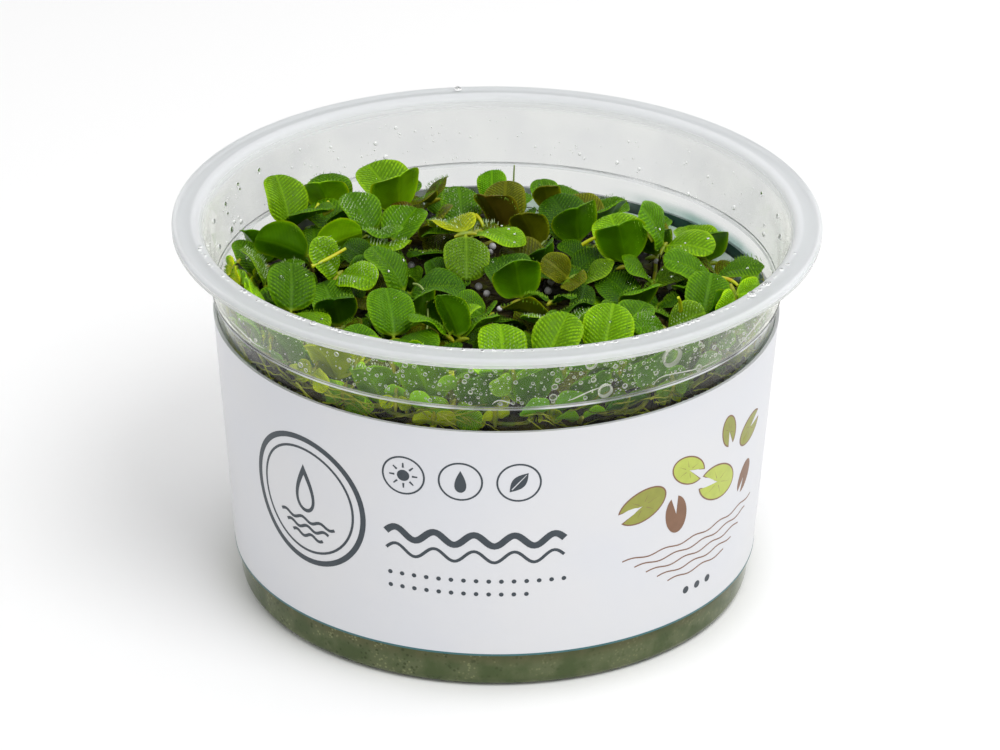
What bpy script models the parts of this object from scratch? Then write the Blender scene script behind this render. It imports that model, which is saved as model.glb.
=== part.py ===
# A pot of water spangles: small floating ferns, crowded on a growth medium in a clear round pot
# with a paper label round it. Metres, +Z up. The origin is the centre of the pot's foot, on the
# surface that it stands on, and the middle of the label faces -Y.

import math
import random

import bmesh
import bpy
from mathutils import Vector
from mathutils.bvhtree import BVHTree

MM = 0.001

# The pot: a thin turned cup with a flat rim, a short flared collar for the lid and a tapered body
POT_HEIGHT = 60.5 * MM
RIM_RADIUS = 50.0 * MM
RIM_WIDTH = 3.9 * MM
RIM_SKIRT = 1.5 * MM
RIM_EDGE = 0.5 * MM  # bevel of the rim's outer edge
MOUTH_EDGE = 0.4 * MM  # and of its inner edge
WALL = 0.7 * MM
COLLAR_TOP_RADIUS = 44.8 * MM
COLLAR_TOP_HEIGHT = 57.6 * MM
COLLAR_FOOT_RADIUS = 43.3 * MM
CREASE_HEIGHT = 49.6 * MM  # where the collar steps in to the body
CREASE_DROP = 0.8 * MM
CREASE_BEAD = 0.15 * MM
BODY_TOP_RADIUS = 42.9 * MM
BODY_FOOT_RADIUS = 39.4 * MM
FOOT_ROUND = 1.6 * MM
FOOT_ROUND_STEPS = 2
FOOT_RING_WIDTH = 3.5 * MM
FOOT_RECESS = 0.6 * MM
FLOOR_HEIGHT = 1.3 * MM
ROUND_SEGMENTS = 40

# The label: a paper strip wrapped round the body, its two ends a little apart at the back
LABEL_FOOT = 6.0 * MM
LABEL_TOP = 45.5 * MM
LABEL_THICKNESS = 0.25 * MM
LABEL_END_GAP = 5.0 * MM

# The growth medium, which fills the body to just below the label's top edge
MEDIUM_TOP = 43.5 * MM
MENISCUS_RISE = 0.5 * MM
MENISCUS_WIDTH = 1.6 * MM

# What touching pieces keep between them
TOUCH_GAP = 0.3 * MM

# One spangle: a stem with a pair of leaves at each of its nodes, and roots under them
LEAF_THICKNESS = 0.6 * MM  # over the midrib, thinning to nothing at the edge
LEAF_BREADTH = 0.84  # widest part over length
LEAF_ROUNDNESS = 2.3  # power of the outline: 2 is an ellipse, more is squarer
LEAF_FOLD = 0.28  # rise of each half over its width
LEAF_ARCH = 0.06  # rise of the middle over the leaf's length
LEAF_STATIONS = (0.1, 0.32, 0.66, 0.91)  # where a leaf's cross-sections are, of its length
PETIOLE_SHARE = 0.09  # the stalk's share of a leaf's length
PETIOLE_WIDTH = 1.1 * MM
LEAF_SWING = 12.0  # how far leaves point towards the stem's tip, in degrees
STEM_STUB = 1.8 * MM  # how far the stem shows on either side of its node
RUNNER_WIDTH = 1.0 * MM  # a square stem that joins pairs, lying just above the medium
FOOT_DEPTH = 0.4  # how deep in it the foot of the roots is, of its width
LEAF_CLEARANCE = 0.12 * MM
WALL_CLEARANCE = 0.35 * MM
HIGHEST_TIP = 59.5 * MM

# Each spangle's leaf pairs, as wished: x, y and height of the middle of the pair's first leaf and
# the leaf's length, in mm, the way that it points seen from above, from +X towards +Y, the slope
# of the stem, and the lift of the first and of the second leaf above the stem's sides, in degrees.
# They settle in this order, the ones that show most first
SPANGLES = (
    # Left, at the back
    ((-15.4, 22.6, 53.4, 10.2, 285, 0, 66, 45), (-20.6, 27.4, 51.4, 8.6, 140, 0, 60, 30)),
    ((-34.0, 21.6, 52.4, 9.2, 120, 0, 50, 35),),
    ((-27.5, 25.0, 51.6, 8.8, 258, 0, 70, 45), (-23.4, 19.6, 50.8, 8.6, 288, 0, 66, 40)),
    ((-25.0, 6.6, 52.2, 9.2, 2, 76, 20, 26),),
    ((-35.8, 14.8, 50.8, 9.0, 250, 0, 66, 30),),
    ((-14.6, 17.0, 50.4, 8.4, 60, 0, 22, 20),),
    ((-38.2, 2.8, 50.2, 8.0, 188, 0, 52, 32),),
    # Left, in the middle and at the front
    ((-31.5, -8.3, 51.6, 9.0, 95, 0, 42, 8),),
    ((-16.8, -0.9, 51.2, 9.4, 150, 0, 45, 12),),
    ((-16.2, -15.2, 50.8, 9.0, 105, 0, 40, 8), (-24.4, -13.0, 49.4, 8.2, 282, 0, 62, 50)),
    ((-22.6, -6.4, 51.6, 8.4, 350, -18, 20, 74),),
    ((-16.4, 9.0, 51.2, 8.8, 322, 0, 34, 24),),
    ((-11.6, -9.6, 49.6, 8.2, 290, 0, 68, 34),),
    ((-7.4, -11.4, 48.8, 8.0, 262, 0, 72, 28),),
    ((-12.4, -21.4, 49.4, 7.4, 155, -22, 38, 34),),
    # The middle
    ((3.4, -3.9, 51.2, 9.2, 272, 0, 76, 26),),
    ((-4.6, 3.8, 51.6, 8.8, 276, 0, -30, -14),),
    ((0.6, 8.8, 52.2, 9.4, 334, 0, -6, -12),),
    ((0.8, -22.4, 48.4, 9.0, 96, 0, 30, 8),),
    ((-4.0, -16.6, 48.2, 8.6, 12, 44, 12, 60),),
    ((-6.9, -1.6, 48.0, 7.6, 318, 0, 44, 28),),
    ((-0.4, 22.6, 50.2, 8.6, 238, 0, 62, 50), (-8.6, 17.4, 49.8, 8.6, 298, 0, 64, 36)),
    ((-5.8, 26.2, 49.4, 8.0, 100, 0, 36, 16),),
    # Right, in the middle and at the front
    ((19.6, 5.4, 53.0, 9.8, 264, 0, 74, 40),),
    ((16.8, -20.6, 50.6, 9.4, 80, 0, 48, 8), (9.0, -23.2, 50.6, 9.2, 62, 0, 40, 8)),
    ((32.2, -8.5, 50.8, 8.4, 80, 0, 44, 8),),
    ((11.6, -8.6, 47.8, 8.4, 14, 36, 12, 30),),
    ((22.3, -5.2, 49.0, 8.4, 290, 0, 54, 28),),
    ((6.8, -14.8, 48.6, 7.6, 198, -18, 36, 26),),
    ((29.6, -14.8, 49.6, 7.6, 20, -18, 36, 36),),
    ((17.4, 0.6, 48.4, 8.8, 326, 0, 34, 26),),
    ((9.6, 4.4, 48.6, 8.2, 0, 0, 74, 34),),
    ((20.8, -13.4, 49.2, 7.6, 62, 0, 32, 20),),
    # Right, at the back
    ((12.8, 16.8, 50.8, 9.4, 280, 0, 66, 40), (17.6, 23.4, 49.2, 8.4, 300, 0, 58, 30)),
    ((6.4, 19.6, 49.8, 8.0, 286, 0, 68, 36), (7.2, 24.2, 52.2, 5.6, 272, 0, 72, 40)),
    ((29.2, 8.6, 50.2, 9.2, 344, -10, 14, 62),),
    ((37.2, 0.6, 50.4, 8.8, 342, 0, 26, 30),),
    ((33.4, 13.0, 48.8, 8.4, 276, 0, 58, 22),),
    ((24.6, 14.6, 48.8, 7.8, 262, 0, 56, 22), (27.0, 2.8, 48.8, 8.2, 18, 0, 30, 36)),
    # The front, where leaves stand against the wall
    ((-25.0, -31.6, 50.8, 9.0, 232, 0, 66, 26), (-31.8, -25.6, 50.0, 8.8, 218, 0, 72, 26)),
    ((-10.6, -39.0, 51.0, 9.2, 250, 0, 68, 26), (-18.0, -36.4, 49.4, 8.6, 246, 0, 74, 26)),
    ((6.6, -39.8, 51.0, 9.2, 282, 0, 68, 26), (-2.0, -40.4, 49.6, 8.8, 270, 0, 74, 26)),
    ((22.4, -33.4, 51.0, 9.0, 300, 0, 68, 26), (14.6, -37.6, 49.4, 8.6, 288, 0, 74, 26)),
    ((35.4, -19.8, 50.6, 8.8, 330, 0, 66, 26), (29.6, -27.6, 49.6, 8.8, 316, 0, 72, 26)),
    ((-37.4, -17.6, 50.0, 8.6, 205, 0, 68, 20),),
    # Between and behind the others
    ((-38.4, 10.6, 48.8, 7.8, 175, 0, 56, 20), (-28.6, 14.0, 47.8, 7.6, 100, 0, 30, 30)),
    ((-38.6, -7.4, 48.4, 7.6, 215, 0, 48, 24),),
    ((-21.4, 13.6, 48.6, 7.6, 100, 0, 20, 12),),
    ((-26.6, 31.0, 48.8, 8.2, 120, 0, 50, 16), (-17.0, 34.0, 46.8, 8.2, 70, 0, 20, 14)),
    ((-8.0, 34.0, 46.6, 8.2, 80, 0, 14, 12), (1.6, 32.0, 46.6, 8.0, 60, 0, 16, 12)),
    ((-22.0, -24.0, 48.2, 8.0, 70, 0, 26, 26),),
    ((-4.4, -30.4, 47.8, 8.2, 10, 0, 22, 24),),
    ((31.6, -1.8, 48.2, 7.6, 250, 0, 30, 28),),
    ((3.6, -10.0, 47.4, 7.4, 250, 0, 30, 20),),
    ((24.6, 22.0, 47.6, 7.6, 40, 0, 20, 26), (9.6, 29.6, 48.0, 7.6, 120, 0, 30, 36)),
    ((13.6, 10.2, 48.0, 7.6, 14, 0, 20, 26),),
    ((-11.6, 9.6, 47.8, 7.6, 250, 0, 36, 26),),
)
SHIFT_STEP = 4.2  # the furthest that a pair moves to clear its neighbours, in mm
RISE_STEP = 2.1
TURN_STEP = 70.0  # and the furthest that it turns, in degrees
SLOPE_STEP = 21.0
LIFT_STEP = 30.0
MOST_LIFT = 70.0  # a steeper leaf would fold into its pair's other leaf
MOST_LIFT_OF_BOTH = 105.0
LEAST_SIZE = 0.7  # the smallest that a pair may be, over its wished size
MOST_TRIES = 900

CLEAR_PLASTIC = ("clear_plastic", (0.88, 0.91, 0.92), 0.12, 0.9)
LABEL_PAPER = ("label_paper", (0.86, 0.87, 0.90), 0.55, 0.0)
MEDIUM_GREEN = ("medium_green", (0.24, 0.30, 0.20), 0.2, 0.4)
LEAF_GREEN = ("leaf_green", (0.10, 0.32, 0.03), 0.45, 0.0)


def clear_scene():
    for old in list(bpy.data.objects):
        bpy.data.objects.remove(old)


def make_material(name, colour, roughness, transmission):
    material = bpy.data.materials.new(name)
    material.use_nodes = True
    shader = material.node_tree.nodes["Principled BSDF"]
    shader.inputs["Base Color"].default_value = (*colour, 1.0)
    shader.inputs["Roughness"].default_value = roughness
    shader.inputs["Transmission Weight"].default_value = transmission
    shader.inputs["Metallic"].default_value = 0.0
    return material


def add_object(name, shape, material, sharp_degrees=40.0):
    mesh = bpy.data.meshes.new(name)
    bmesh.ops.recalc_face_normals(shape, faces=shape.faces)
    shape.to_mesh(mesh)
    shape.free()
    mesh.shade_smooth()
    mesh.set_sharp_from_angle(angle=math.radians(sharp_degrees))
    mesh.materials.append(material)
    made = bpy.data.objects.new(name, mesh)
    bpy.context.scene.collection.objects.link(made)
    return made


# Points of a quarter round from one angle to another, both ends included
def round_points(centre, radius, start, end, steps):
    angles = [math.radians(start + (end - start) * i / steps) for i in range(steps + 1)]
    return [
        (centre[0] + radius * math.cos(a), centre[1] + radius * math.sin(a)) for a in angles
    ]


# A solid turned about Z from an outline of (radius, height) points that starts and ends on the axis
def turned(name, outline, material):
    shape = bmesh.new()
    corners = [shape.verts.new((r, 0.0, z)) for r, z in outline]
    edges = [shape.edges.new(pair) for pair in zip(corners, corners[1:])]
    bmesh.ops.spin(
        shape,
        geom=corners + edges,
        axis=(0, 0, 1),
        cent=(0, 0, 0),
        steps=ROUND_SEGMENTS,
        angle=math.tau,
        use_merge=True,
    )
    bmesh.ops.remove_doubles(shape, verts=shape.verts, dist=0.001 * MM)
    return add_object(name, shape, material)


# Radius of the wall's inner face at a height
def inner_radius(height):
    if height > CREASE_HEIGHT:
        share = (height - CREASE_HEIGHT) / (COLLAR_TOP_HEIGHT - CREASE_HEIGHT)
        return COLLAR_FOOT_RADIUS + (COLLAR_TOP_RADIUS - COLLAR_FOOT_RADIUS) * min(share, 1.0)
    return BODY_FOOT_RADIUS + (BODY_TOP_RADIUS - BODY_FOOT_RADIUS) * height / CREASE_HEIGHT


def outer_radius(height):
    return inner_radius(height) + WALL


def make_pot(material):
    mouth_radius = RIM_RADIUS - RIM_WIDTH
    skirt_inside = RIM_RADIUS - WALL
    rim_underside = POT_HEIGHT - WALL
    floor_corner = inner_radius(FLOOR_HEIGHT)
    floor_round = (floor_corner - FOOT_ROUND, FLOOR_HEIGHT + FOOT_ROUND)
    foot_round = (outer_radius(0.0) - FOOT_ROUND, FOOT_ROUND)
    ring_inside = foot_round[0] - FOOT_RING_WIDTH
    inside = [
        (0.0, FLOOR_HEIGHT),
        *round_points(floor_round, FOOT_ROUND, -90, -8, FOOT_ROUND_STEPS),
        (BODY_TOP_RADIUS, CREASE_HEIGHT - CREASE_DROP),
        (COLLAR_FOOT_RADIUS, CREASE_HEIGHT),
        (COLLAR_TOP_RADIUS, COLLAR_TOP_HEIGHT),
        (mouth_radius - MOUTH_EDGE, POT_HEIGHT - MOUTH_EDGE),
    ]
    rim = [
        (mouth_radius, POT_HEIGHT),
        (RIM_RADIUS - RIM_EDGE, POT_HEIGHT),
        (RIM_RADIUS, POT_HEIGHT - RIM_EDGE),
        (RIM_RADIUS, POT_HEIGHT - RIM_SKIRT),
        (skirt_inside, POT_HEIGHT - RIM_SKIRT),
        (skirt_inside, rim_underside),
        (mouth_radius + RIM_EDGE, rim_underside),
    ]
    outside = [
        (COLLAR_TOP_RADIUS + WALL, COLLAR_TOP_HEIGHT),
        (COLLAR_FOOT_RADIUS + WALL, CREASE_HEIGHT),
        (COLLAR_FOOT_RADIUS + WALL + CREASE_BEAD, CREASE_HEIGHT - CREASE_DROP / 2),
        (BODY_TOP_RADIUS + WALL, CREASE_HEIGHT - CREASE_DROP * 2),
        *round_points(foot_round, FOOT_ROUND, -5, -90, FOOT_ROUND_STEPS),
        (ring_inside, 0.0),
        (ring_inside - FOOT_RECESS, FOOT_RECESS),
        (0.0, FOOT_RECESS),
    ]
    return turned("pot", inside + rim + outside, material)


def make_medium(material):
    foot = FLOOR_HEIGHT + TOUCH_GAP
    top_radius = inner_radius(MEDIUM_TOP) - TOUCH_GAP
    foot_radius = inner_radius(foot) - FOOT_ROUND
    outline = [
        (0.0, foot),
        (foot_radius - TOUCH_GAP, foot),
        (inner_radius(foot + FOOT_ROUND) - TOUCH_GAP, foot + FOOT_ROUND),
        (top_radius, MEDIUM_TOP + MENISCUS_RISE),
        (top_radius - MENISCUS_WIDTH, MEDIUM_TOP),
        (0.0, MEDIUM_TOP),
    ]
    return turned("growth_medium", outline, material)


# A closed shell through matching rings of points. Each end is closed by a face, or runs to a point
def skinned(rings, start_point=None, end_point=None):
    shape = bmesh.new()
    loops = [[shape.verts.new(point) for point in ring] for ring in rings]
    count = len(loops[0])
    for first, second in zip(loops, loops[1:]):
        for i in range(count):
            j = (i + 1) % count
            shape.faces.new((first[i], first[j], second[j], second[i]))
    for loop, tip_point in ((loops[0][::-1], start_point), (loops[-1], end_point)):
        if tip_point is None:
            shape.faces.new(loop)
            continue
        tip = shape.verts.new(tip_point)
        for i in range(count):
            shape.faces.new((loop[i], loop[(i + 1) % count], tip))
    return shape


def make_label(material):
    half_gap = LABEL_END_GAP / 2 / outer_radius(LABEL_TOP)
    steps = ROUND_SEGMENTS
    rings = []
    for i in range(steps + 1):
        angle = math.pi / 2 + half_gap + (math.tau - 2 * half_gap) * i / steps
        ring = []
        for height, outward in (
            (LABEL_FOOT, 0.0),
            (LABEL_FOOT, LABEL_THICKNESS),
            (LABEL_TOP, LABEL_THICKNESS),
            (LABEL_TOP, 0.0),
        ):
            radius = outer_radius(height) + TOUCH_GAP + outward
            ring.append((radius * math.cos(angle), radius * math.sin(angle), height))
        rings.append(ring)
    return add_object("label", skinned(rings), material)


# A leaf pair: its node, the foot of its roots, and the stem's lengthwise, left and upper directions
class Pair:
    def __init__(self, x, y, z, length, azimuth, slope, lift, other_lift):
        turn, pitch = math.radians(azimuth - 90.0 + LEAF_SWING), math.radians(slope)
        level = math.cos(pitch)
        self.ahead = Vector((math.cos(turn) * level, math.sin(turn) * level, math.sin(pitch)))
        self.left = Vector((-math.sin(turn), math.cos(turn), 0.0))
        self.up = self.ahead.cross(self.left)
        self.node = Vector((0.0, 0.0, 0.0))
        first = Leaf(self, 1.0, lift, length * MM)
        self.node = Vector((x, y, z)) * MM - first.along * first.length / 2
        foot_height = MEDIUM_TOP + TOUCH_GAP + RUNNER_WIDTH * FOOT_DEPTH
        self.foot = Vector((self.node.x, self.node.y, foot_height))
        self.leaves = (
            Leaf(self, 1.0, lift, length * MM),
            Leaf(self, -1.0, other_lift, length * MM),
        )


# A leaf: where it starts, and its lengthwise, upper and sideways directions
class Leaf:
    def __init__(self, pair, side, lift, length):
        swing, rise = math.radians(LEAF_SWING), math.radians(lift)
        outward = pair.left * side
        lifted = outward * math.cos(rise) + pair.up * math.sin(rise)
        self.base = pair.node
        self.length = length
        self.along = lifted * math.cos(swing) + pair.ahead * math.sin(swing)
        self.upper = pair.up * math.cos(rise) - outward * math.sin(rise)
        self.across = self.along.cross(self.upper) * side

    def half_width(self, u):
        blade = max(0.0, (u - PETIOLE_SHARE) / (1.0 - PETIOLE_SHARE))
        oval = (1.0 - abs(2.0 * blade - 1.0) ** LEAF_ROUNDNESS) ** (1 / LEAF_ROUNDNESS)
        if u < 2.0 * PETIOLE_SHARE:
            return PETIOLE_WIDTH / 2
        return self.length * LEAF_BREADTH / 2 * oval

    def point(self, u, v, off):
        aside = v * self.half_width(u)
        fold = LEAF_FOLD * min(1.0, 2.0 * u) * abs(aside)
        arch = LEAF_ARCH * self.length * math.sin(math.pi * u)
        level = self.base + self.along * (u * self.length) + self.across * aside
        return level + self.upper * (fold + arch + off)


# One closed shell through rings of four points, from tip to tip of the pair's leaves over their
# node, where the ring's ends are the stem's and its lowest point is the foot of the roots
def pair_shell(pair, extra=0.0):
    half = LEAF_THICKNESS / 2 + extra
    first, second = pair.leaves
    rings = [leaf_ring(first, u, half) for u in reversed(LEAF_STATIONS)]
    rings.append(
        [
            pair.node + pair.ahead * STEM_STUB,
            pair.node + pair.up * half,
            pair.node - pair.ahead * STEM_STUB,
            pair.foot,
        ]
    )
    rings += [leaf_ring(second, u, half) for u in LEAF_STATIONS]
    return skinned(rings, first.point(1.0, 0.0, 0.0), second.point(1.0, 0.0, 0.0))


def leaf_ring(leaf, u, half):
    return [
        leaf.point(u, 1.0, 0.0),
        leaf.point(u, 0.0, half),
        leaf.point(u, -1.0, 0.0),
        leaf.point(u, 0.0, -half),
    ]


# The square-sided stem from one pair's foot to the next pair's, round both of them
def runner_shell(pair, following, extra=0.0):
    half = RUNNER_WIDTH / 2 + extra
    axis = (following.foot - pair.foot).normalized()
    aside = axis.cross(Vector((0.0, 0.0, 1.0)))
    upward = Vector((0.0, 0.0, RUNNER_WIDTH + extra))
    low = Vector((0.0, 0.0, TOUCH_GAP + MEDIUM_TOP - pair.foot.z))
    rings = []
    for middle in (pair.foot - axis * half, following.foot + axis * half):
        left, right = middle + low - aside * half, middle + low + aside * half
        rings.append([left, right, right + upward, left + upward])
    return skinned(rings)


# A shell's surface as a tree for finding where it touches another, and its points
def touch_tree(shell):
    tree = BVHTree.FromBMesh(shell)
    points = [vert.co.copy() for vert in shell.verts]
    shell.free()
    return tree, points


def fits_pot(points):
    lowest = MEDIUM_TOP + TOUCH_GAP
    for point in points:
        if not lowest * 0.9999 < point.z < HIGHEST_TIP:
            return False
        near_medium = point.z < lowest + MENISCUS_RISE
        margin = MENISCUS_WIDTH if near_medium else WALL_CLEARANCE
        if math.hypot(point.x, point.y) > inner_radius(point.z) - margin:
            return False
    return True


def touches(tree, others):
    return any(tree.overlap(other) for other in others)


# The wished place at the first try, then places further and further from it
def nudged(row, attempt, chance):
    x, y, z, length, azimuth, slope, lift, other_lift = row
    reach = attempt / MOST_TRIES
    spread = [chance.uniform(-1.0, 1.0) * reach for _ in range(8)]
    lift = min(lift + LIFT_STEP * spread[6], MOST_LIFT)
    other_lift = min(other_lift + LIFT_STEP * spread[7], MOST_LIFT_OF_BOTH - lift)
    return Pair(
        x + SHIFT_STEP * spread[0],
        y + SHIFT_STEP * spread[1],
        z + RISE_STEP * spread[2],
        length * (1.0 - (1.0 - LEAST_SIZE) * abs(spread[3])),
        azimuth + TURN_STEP * spread[4],
        slope + SLOPE_STEP * spread[5],
        lift,
        other_lift,
    )


# The pair nearest to its wish that touches neither the pot nor anything placed before it, and the
# trees that it adds. A stem from the pair before it has to be clear of the others too
def settle_pair(row, before, trees, chance):
    for attempt in range(MOST_TRIES):
        pair = nudged(row, attempt, chance)
        tree, points = touch_tree(pair_shell(pair, LEAF_CLEARANCE))
        if not fits_pot(points) or touches(tree, trees):
            continue
        if before is None:
            return pair, [tree]
        stem, _ = touch_tree(runner_shell(before, pair, LEAF_CLEARANCE))
        if not touches(stem, trees[:-1]):
            return pair, [tree, stem]
    raise RuntimeError(f"no room for the pair at {row[:3]}")


def settle_spangles():
    settled, trees = [], []
    for number, rows in enumerate(SPANGLES, 1):
        chance = random.Random(number)
        pairs = []
        for row in rows:
            before = pairs[-1] if pairs else None
            pair, more = settle_pair(row, before, trees, chance)
            pairs.append(pair)
            trees += more
        settled.append(pairs)
    return settled


# The shells joined in one solid, which is read off the Boolean's result
def fused(name, shells, material):
    pieces = [add_object(f"{name}_piece_{i}", s, material) for i, s in enumerate(shells)]
    others = bpy.data.collections.new(f"{name}_pieces")
    for piece in pieces[1:]:
        others.objects.link(piece)
    union = pieces[0].modifiers.new("join", "BOOLEAN")
    union.operation = "UNION"
    union.operand_type = "COLLECTION"
    union.collection = others
    bpy.context.view_layer.update()
    graph = bpy.context.evaluated_depsgraph_get()
    mesh = bpy.data.meshes.new_from_object(pieces[0].evaluated_get(graph))
    mesh.name = name
    for piece in pieces:
        bpy.data.objects.remove(piece)
    bpy.data.collections.remove(others)
    made = bpy.data.objects.new(name, mesh)
    bpy.context.scene.collection.objects.link(made)
    return made


def make_spangle(name, pairs, material):
    shells = [pair_shell(pair) for pair in pairs]
    shells += [runner_shell(pair, following) for pair, following in zip(pairs, pairs[1:])]
    if len(shells) == 1:
        return add_object(name, shells[0], material)
    return fused(name, shells, material)


def main():
    clear_scene()
    make_pot(make_material(*CLEAR_PLASTIC))
    make_label(make_material(*LABEL_PAPER))
    make_medium(make_material(*MEDIUM_GREEN))
    leaf_green = make_material(*LEAF_GREEN)
    for number, pairs in enumerate(settle_spangles(), 1):
        make_spangle(f"spangle_{number:02d}", pairs, leaf_green)


main()
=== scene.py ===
import math
import random

import bmesh
import bpy
import numpy as np
from mathutils import Matrix, Vector
from mathutils.bvhtree import BVHTree
from mathutils.geometry import delaunay_2d_cdt


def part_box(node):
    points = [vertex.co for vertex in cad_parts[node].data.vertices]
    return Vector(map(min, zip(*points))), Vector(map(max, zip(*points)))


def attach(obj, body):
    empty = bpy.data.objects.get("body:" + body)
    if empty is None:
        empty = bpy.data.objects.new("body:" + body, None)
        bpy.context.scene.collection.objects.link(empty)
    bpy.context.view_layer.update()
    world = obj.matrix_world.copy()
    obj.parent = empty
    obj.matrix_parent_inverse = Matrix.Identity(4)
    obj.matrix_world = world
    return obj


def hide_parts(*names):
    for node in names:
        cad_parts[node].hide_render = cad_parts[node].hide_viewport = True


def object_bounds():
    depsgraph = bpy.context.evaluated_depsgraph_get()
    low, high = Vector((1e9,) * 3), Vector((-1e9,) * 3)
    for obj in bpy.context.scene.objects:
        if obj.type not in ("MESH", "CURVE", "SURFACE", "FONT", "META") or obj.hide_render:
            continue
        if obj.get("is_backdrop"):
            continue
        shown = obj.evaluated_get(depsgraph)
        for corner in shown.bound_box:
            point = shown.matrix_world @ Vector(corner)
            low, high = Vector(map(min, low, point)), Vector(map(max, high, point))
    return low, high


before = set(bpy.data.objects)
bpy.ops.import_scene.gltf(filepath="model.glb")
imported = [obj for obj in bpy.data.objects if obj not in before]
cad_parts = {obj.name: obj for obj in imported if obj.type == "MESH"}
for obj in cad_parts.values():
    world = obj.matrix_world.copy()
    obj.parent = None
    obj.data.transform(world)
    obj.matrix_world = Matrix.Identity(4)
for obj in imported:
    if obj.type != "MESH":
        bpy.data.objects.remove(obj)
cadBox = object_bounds()

# A pot of water spangles on its growth medium. Sizes in the dictionaries are in millimetres and
# angles in degrees; points of a mesh are in metres.
mm = 0.001


def report(stage):
    print("scene:", stage)


# A closed shape's faces, turned so that they look outward
def outwardFaces(points, faces):
    points = np.asarray(points, float)
    middle = points.mean(axis=0)
    volume = 0.0
    for size in {len(face) for face in faces}:
        corners = points[np.array([face for face in faces if len(face) == size])] - middle
        for i in range(1, size - 1):
            crossed = np.cross(corners[:, i], corners[:, i + 1])
            volume += np.einsum("ij,ij->", corners[:, 0], crossed)
    return faces if volume > 0.0 else [face[::-1] for face in faces]


# Makes a piece of the part from points and faces; faceMaterials says which material each face has
def addPiece(name, points, faces, materials, faceMaterials=None, sharp=50.0):
    mesh = bpy.data.meshes.new(name)
    mesh.from_pydata(np.asarray(points).tolist(), [], faces)
    for material in materials:
        mesh.materials.append(material)
    if faceMaterials is not None:
        mesh.polygons.foreach_set("material_index", np.asarray(faceMaterials, np.int32))
    mesh.shade_smooth()
    mesh.set_sharp_from_angle(angle=math.radians(sharp))
    mesh.update()
    piece = bpy.data.objects.new(name, mesh)
    bpy.context.scene.collection.objects.link(piece)
    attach(piece, "root")
    return piece


# Gathers many small closed shapes into one mesh
class Heap:
    def __init__(self):
        self.points = []
        self.faces = []
        self.faceMaterials = []
        self.count = 0

    def add(self, points, faces, material=0):
        self.points.append(np.asarray(points, float))
        faces = outwardFaces(points, faces)
        self.faces += [tuple(i + self.count for i in face) for face in faces]
        self.faceMaterials += list(material) if np.ndim(material) else [material] * len(faces)
        self.count += len(points)

    def piece(self, name, materials, slot, sharp=50.0):
        points = np.concatenate(self.points)
        return addPiece(name, points, self.faces, materials, self.faceMaterials, sharp)


# Faces between matching rings of points, with a face or a point at each end
def ringFaces(rings, around, startPoint=False, endPoint=False):
    faces = []
    for i in range(rings - 1):
        for j in range(around):
            k = (j + 1) % around
            faces.append((i * around + j, i * around + k, (i + 1) * around + k, (i + 1) * around + j))
    last, after = (rings - 1) * around, rings * around
    if startPoint:
        faces += [((j + 1) % around, j, after) for j in range(around)]
        after += 1
    else:
        faces.append(tuple(range(around - 1, -1, -1)))
    if endPoint:
        faces += [(last + j, last + (j + 1) % around, after) for j in range(around)]
    else:
        faces.append(tuple(range(last, last + around)))
    return faces


# The points that faces use, and the faces with those points' new numbers
def usedOnly(faces):
    used = sorted({corner for face in faces for corner in face})
    number = {old: new for new, old in enumerate(used)}
    return used, [tuple(number[corner] for corner in face) for face in faces]


# Faces of a sheet with a back and closed edges, and their looks; its back's points follow its own
def thickSheet(faces, looks, count):
    owner = {}
    for face, look in zip(faces, looks):
        for a, b in zip(face, face[1:] + face[:1]):
            owner[a, b] = look
    back = [tuple(corner + count for corner in face[::-1]) for face in faces]
    outer = [(a, b) for a, b in owner if (b, a) not in owner]
    sides = [(b, a, a + count, b + count) for a, b in outer]
    return faces + back + sides, looks + looks + [owner[edge] for edge in outer]


# Two directions across a path's direction; the helper is any direction that doesn't lie along it
def acrossOf(direction):
    nearlyUpright = 0.9
    helper = (0.0, 0.0, 1.0) if abs(direction[2]) < nearlyUpright else (1.0, 0.0, 0.0)
    first = np.cross(direction, np.array(helper))
    first /= np.linalg.norm(first)
    return first, np.cross(direction, first)


# A circle of radius 1 across a direction
def circleOf(direction, sides):
    first, second = acrossOf(direction)
    angles = np.arange(sides) * math.tau / sides
    return np.outer(np.cos(angles), first) + np.outer(np.sin(angles), second)


# A closed tube along a path, with one radius at each of its points
def tube(path, radii, sides):
    path = np.asarray(path, float)
    steps = np.gradient(path, axis=0)
    rings = [
        point + radius * circleOf(step / np.linalg.norm(step), sides)
        for point, step, radius in zip(path, steps, radii)
    ]
    return np.concatenate(rings), ringFaces(len(path), sides)


# A drop: a dome with a flat foot, sitting on a surface that faces normal
def dome(centre, normal, radius, rise, sides, rings):
    circle = circleOf(normal, sides)
    points = []
    for i in range(rings):
        lift = math.radians(90.0 * i / rings)
        points.append(centre + circle * radius * math.cos(lift) + normal * rise * math.sin(lift))
    points.append((centre + normal * rise)[None, :])
    return np.concatenate(points), ringFaces(rings, sides, endPoint=True)


# A smooth path through a few corners, given in millimetres
def smoothPath(corners, steps):
    corners = np.array(corners) * mm
    last = len(corners) - 1
    place, fine = np.linspace(0.0, last, last + 1), np.linspace(0.0, last, steps)
    curve = [np.polyval(np.polyfit(place, corners[:, k], min(3, last)), fine) for k in range(3)]
    return np.column_stack(curve)


report("frame loaded")


# Materials. Noise scales are per metre.

def newMaterial(name, roughness, **values):
    material = bpy.data.materials.new(name)
    material.use_nodes = True
    shader = material.node_tree.nodes["Principled BSDF"]
    shader.inputs["Roughness"].default_value = roughness
    for socket, value in values.items():
        shader.inputs[socket.replace("_", " ")].default_value = value
    return material, material.node_tree, shader


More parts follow.
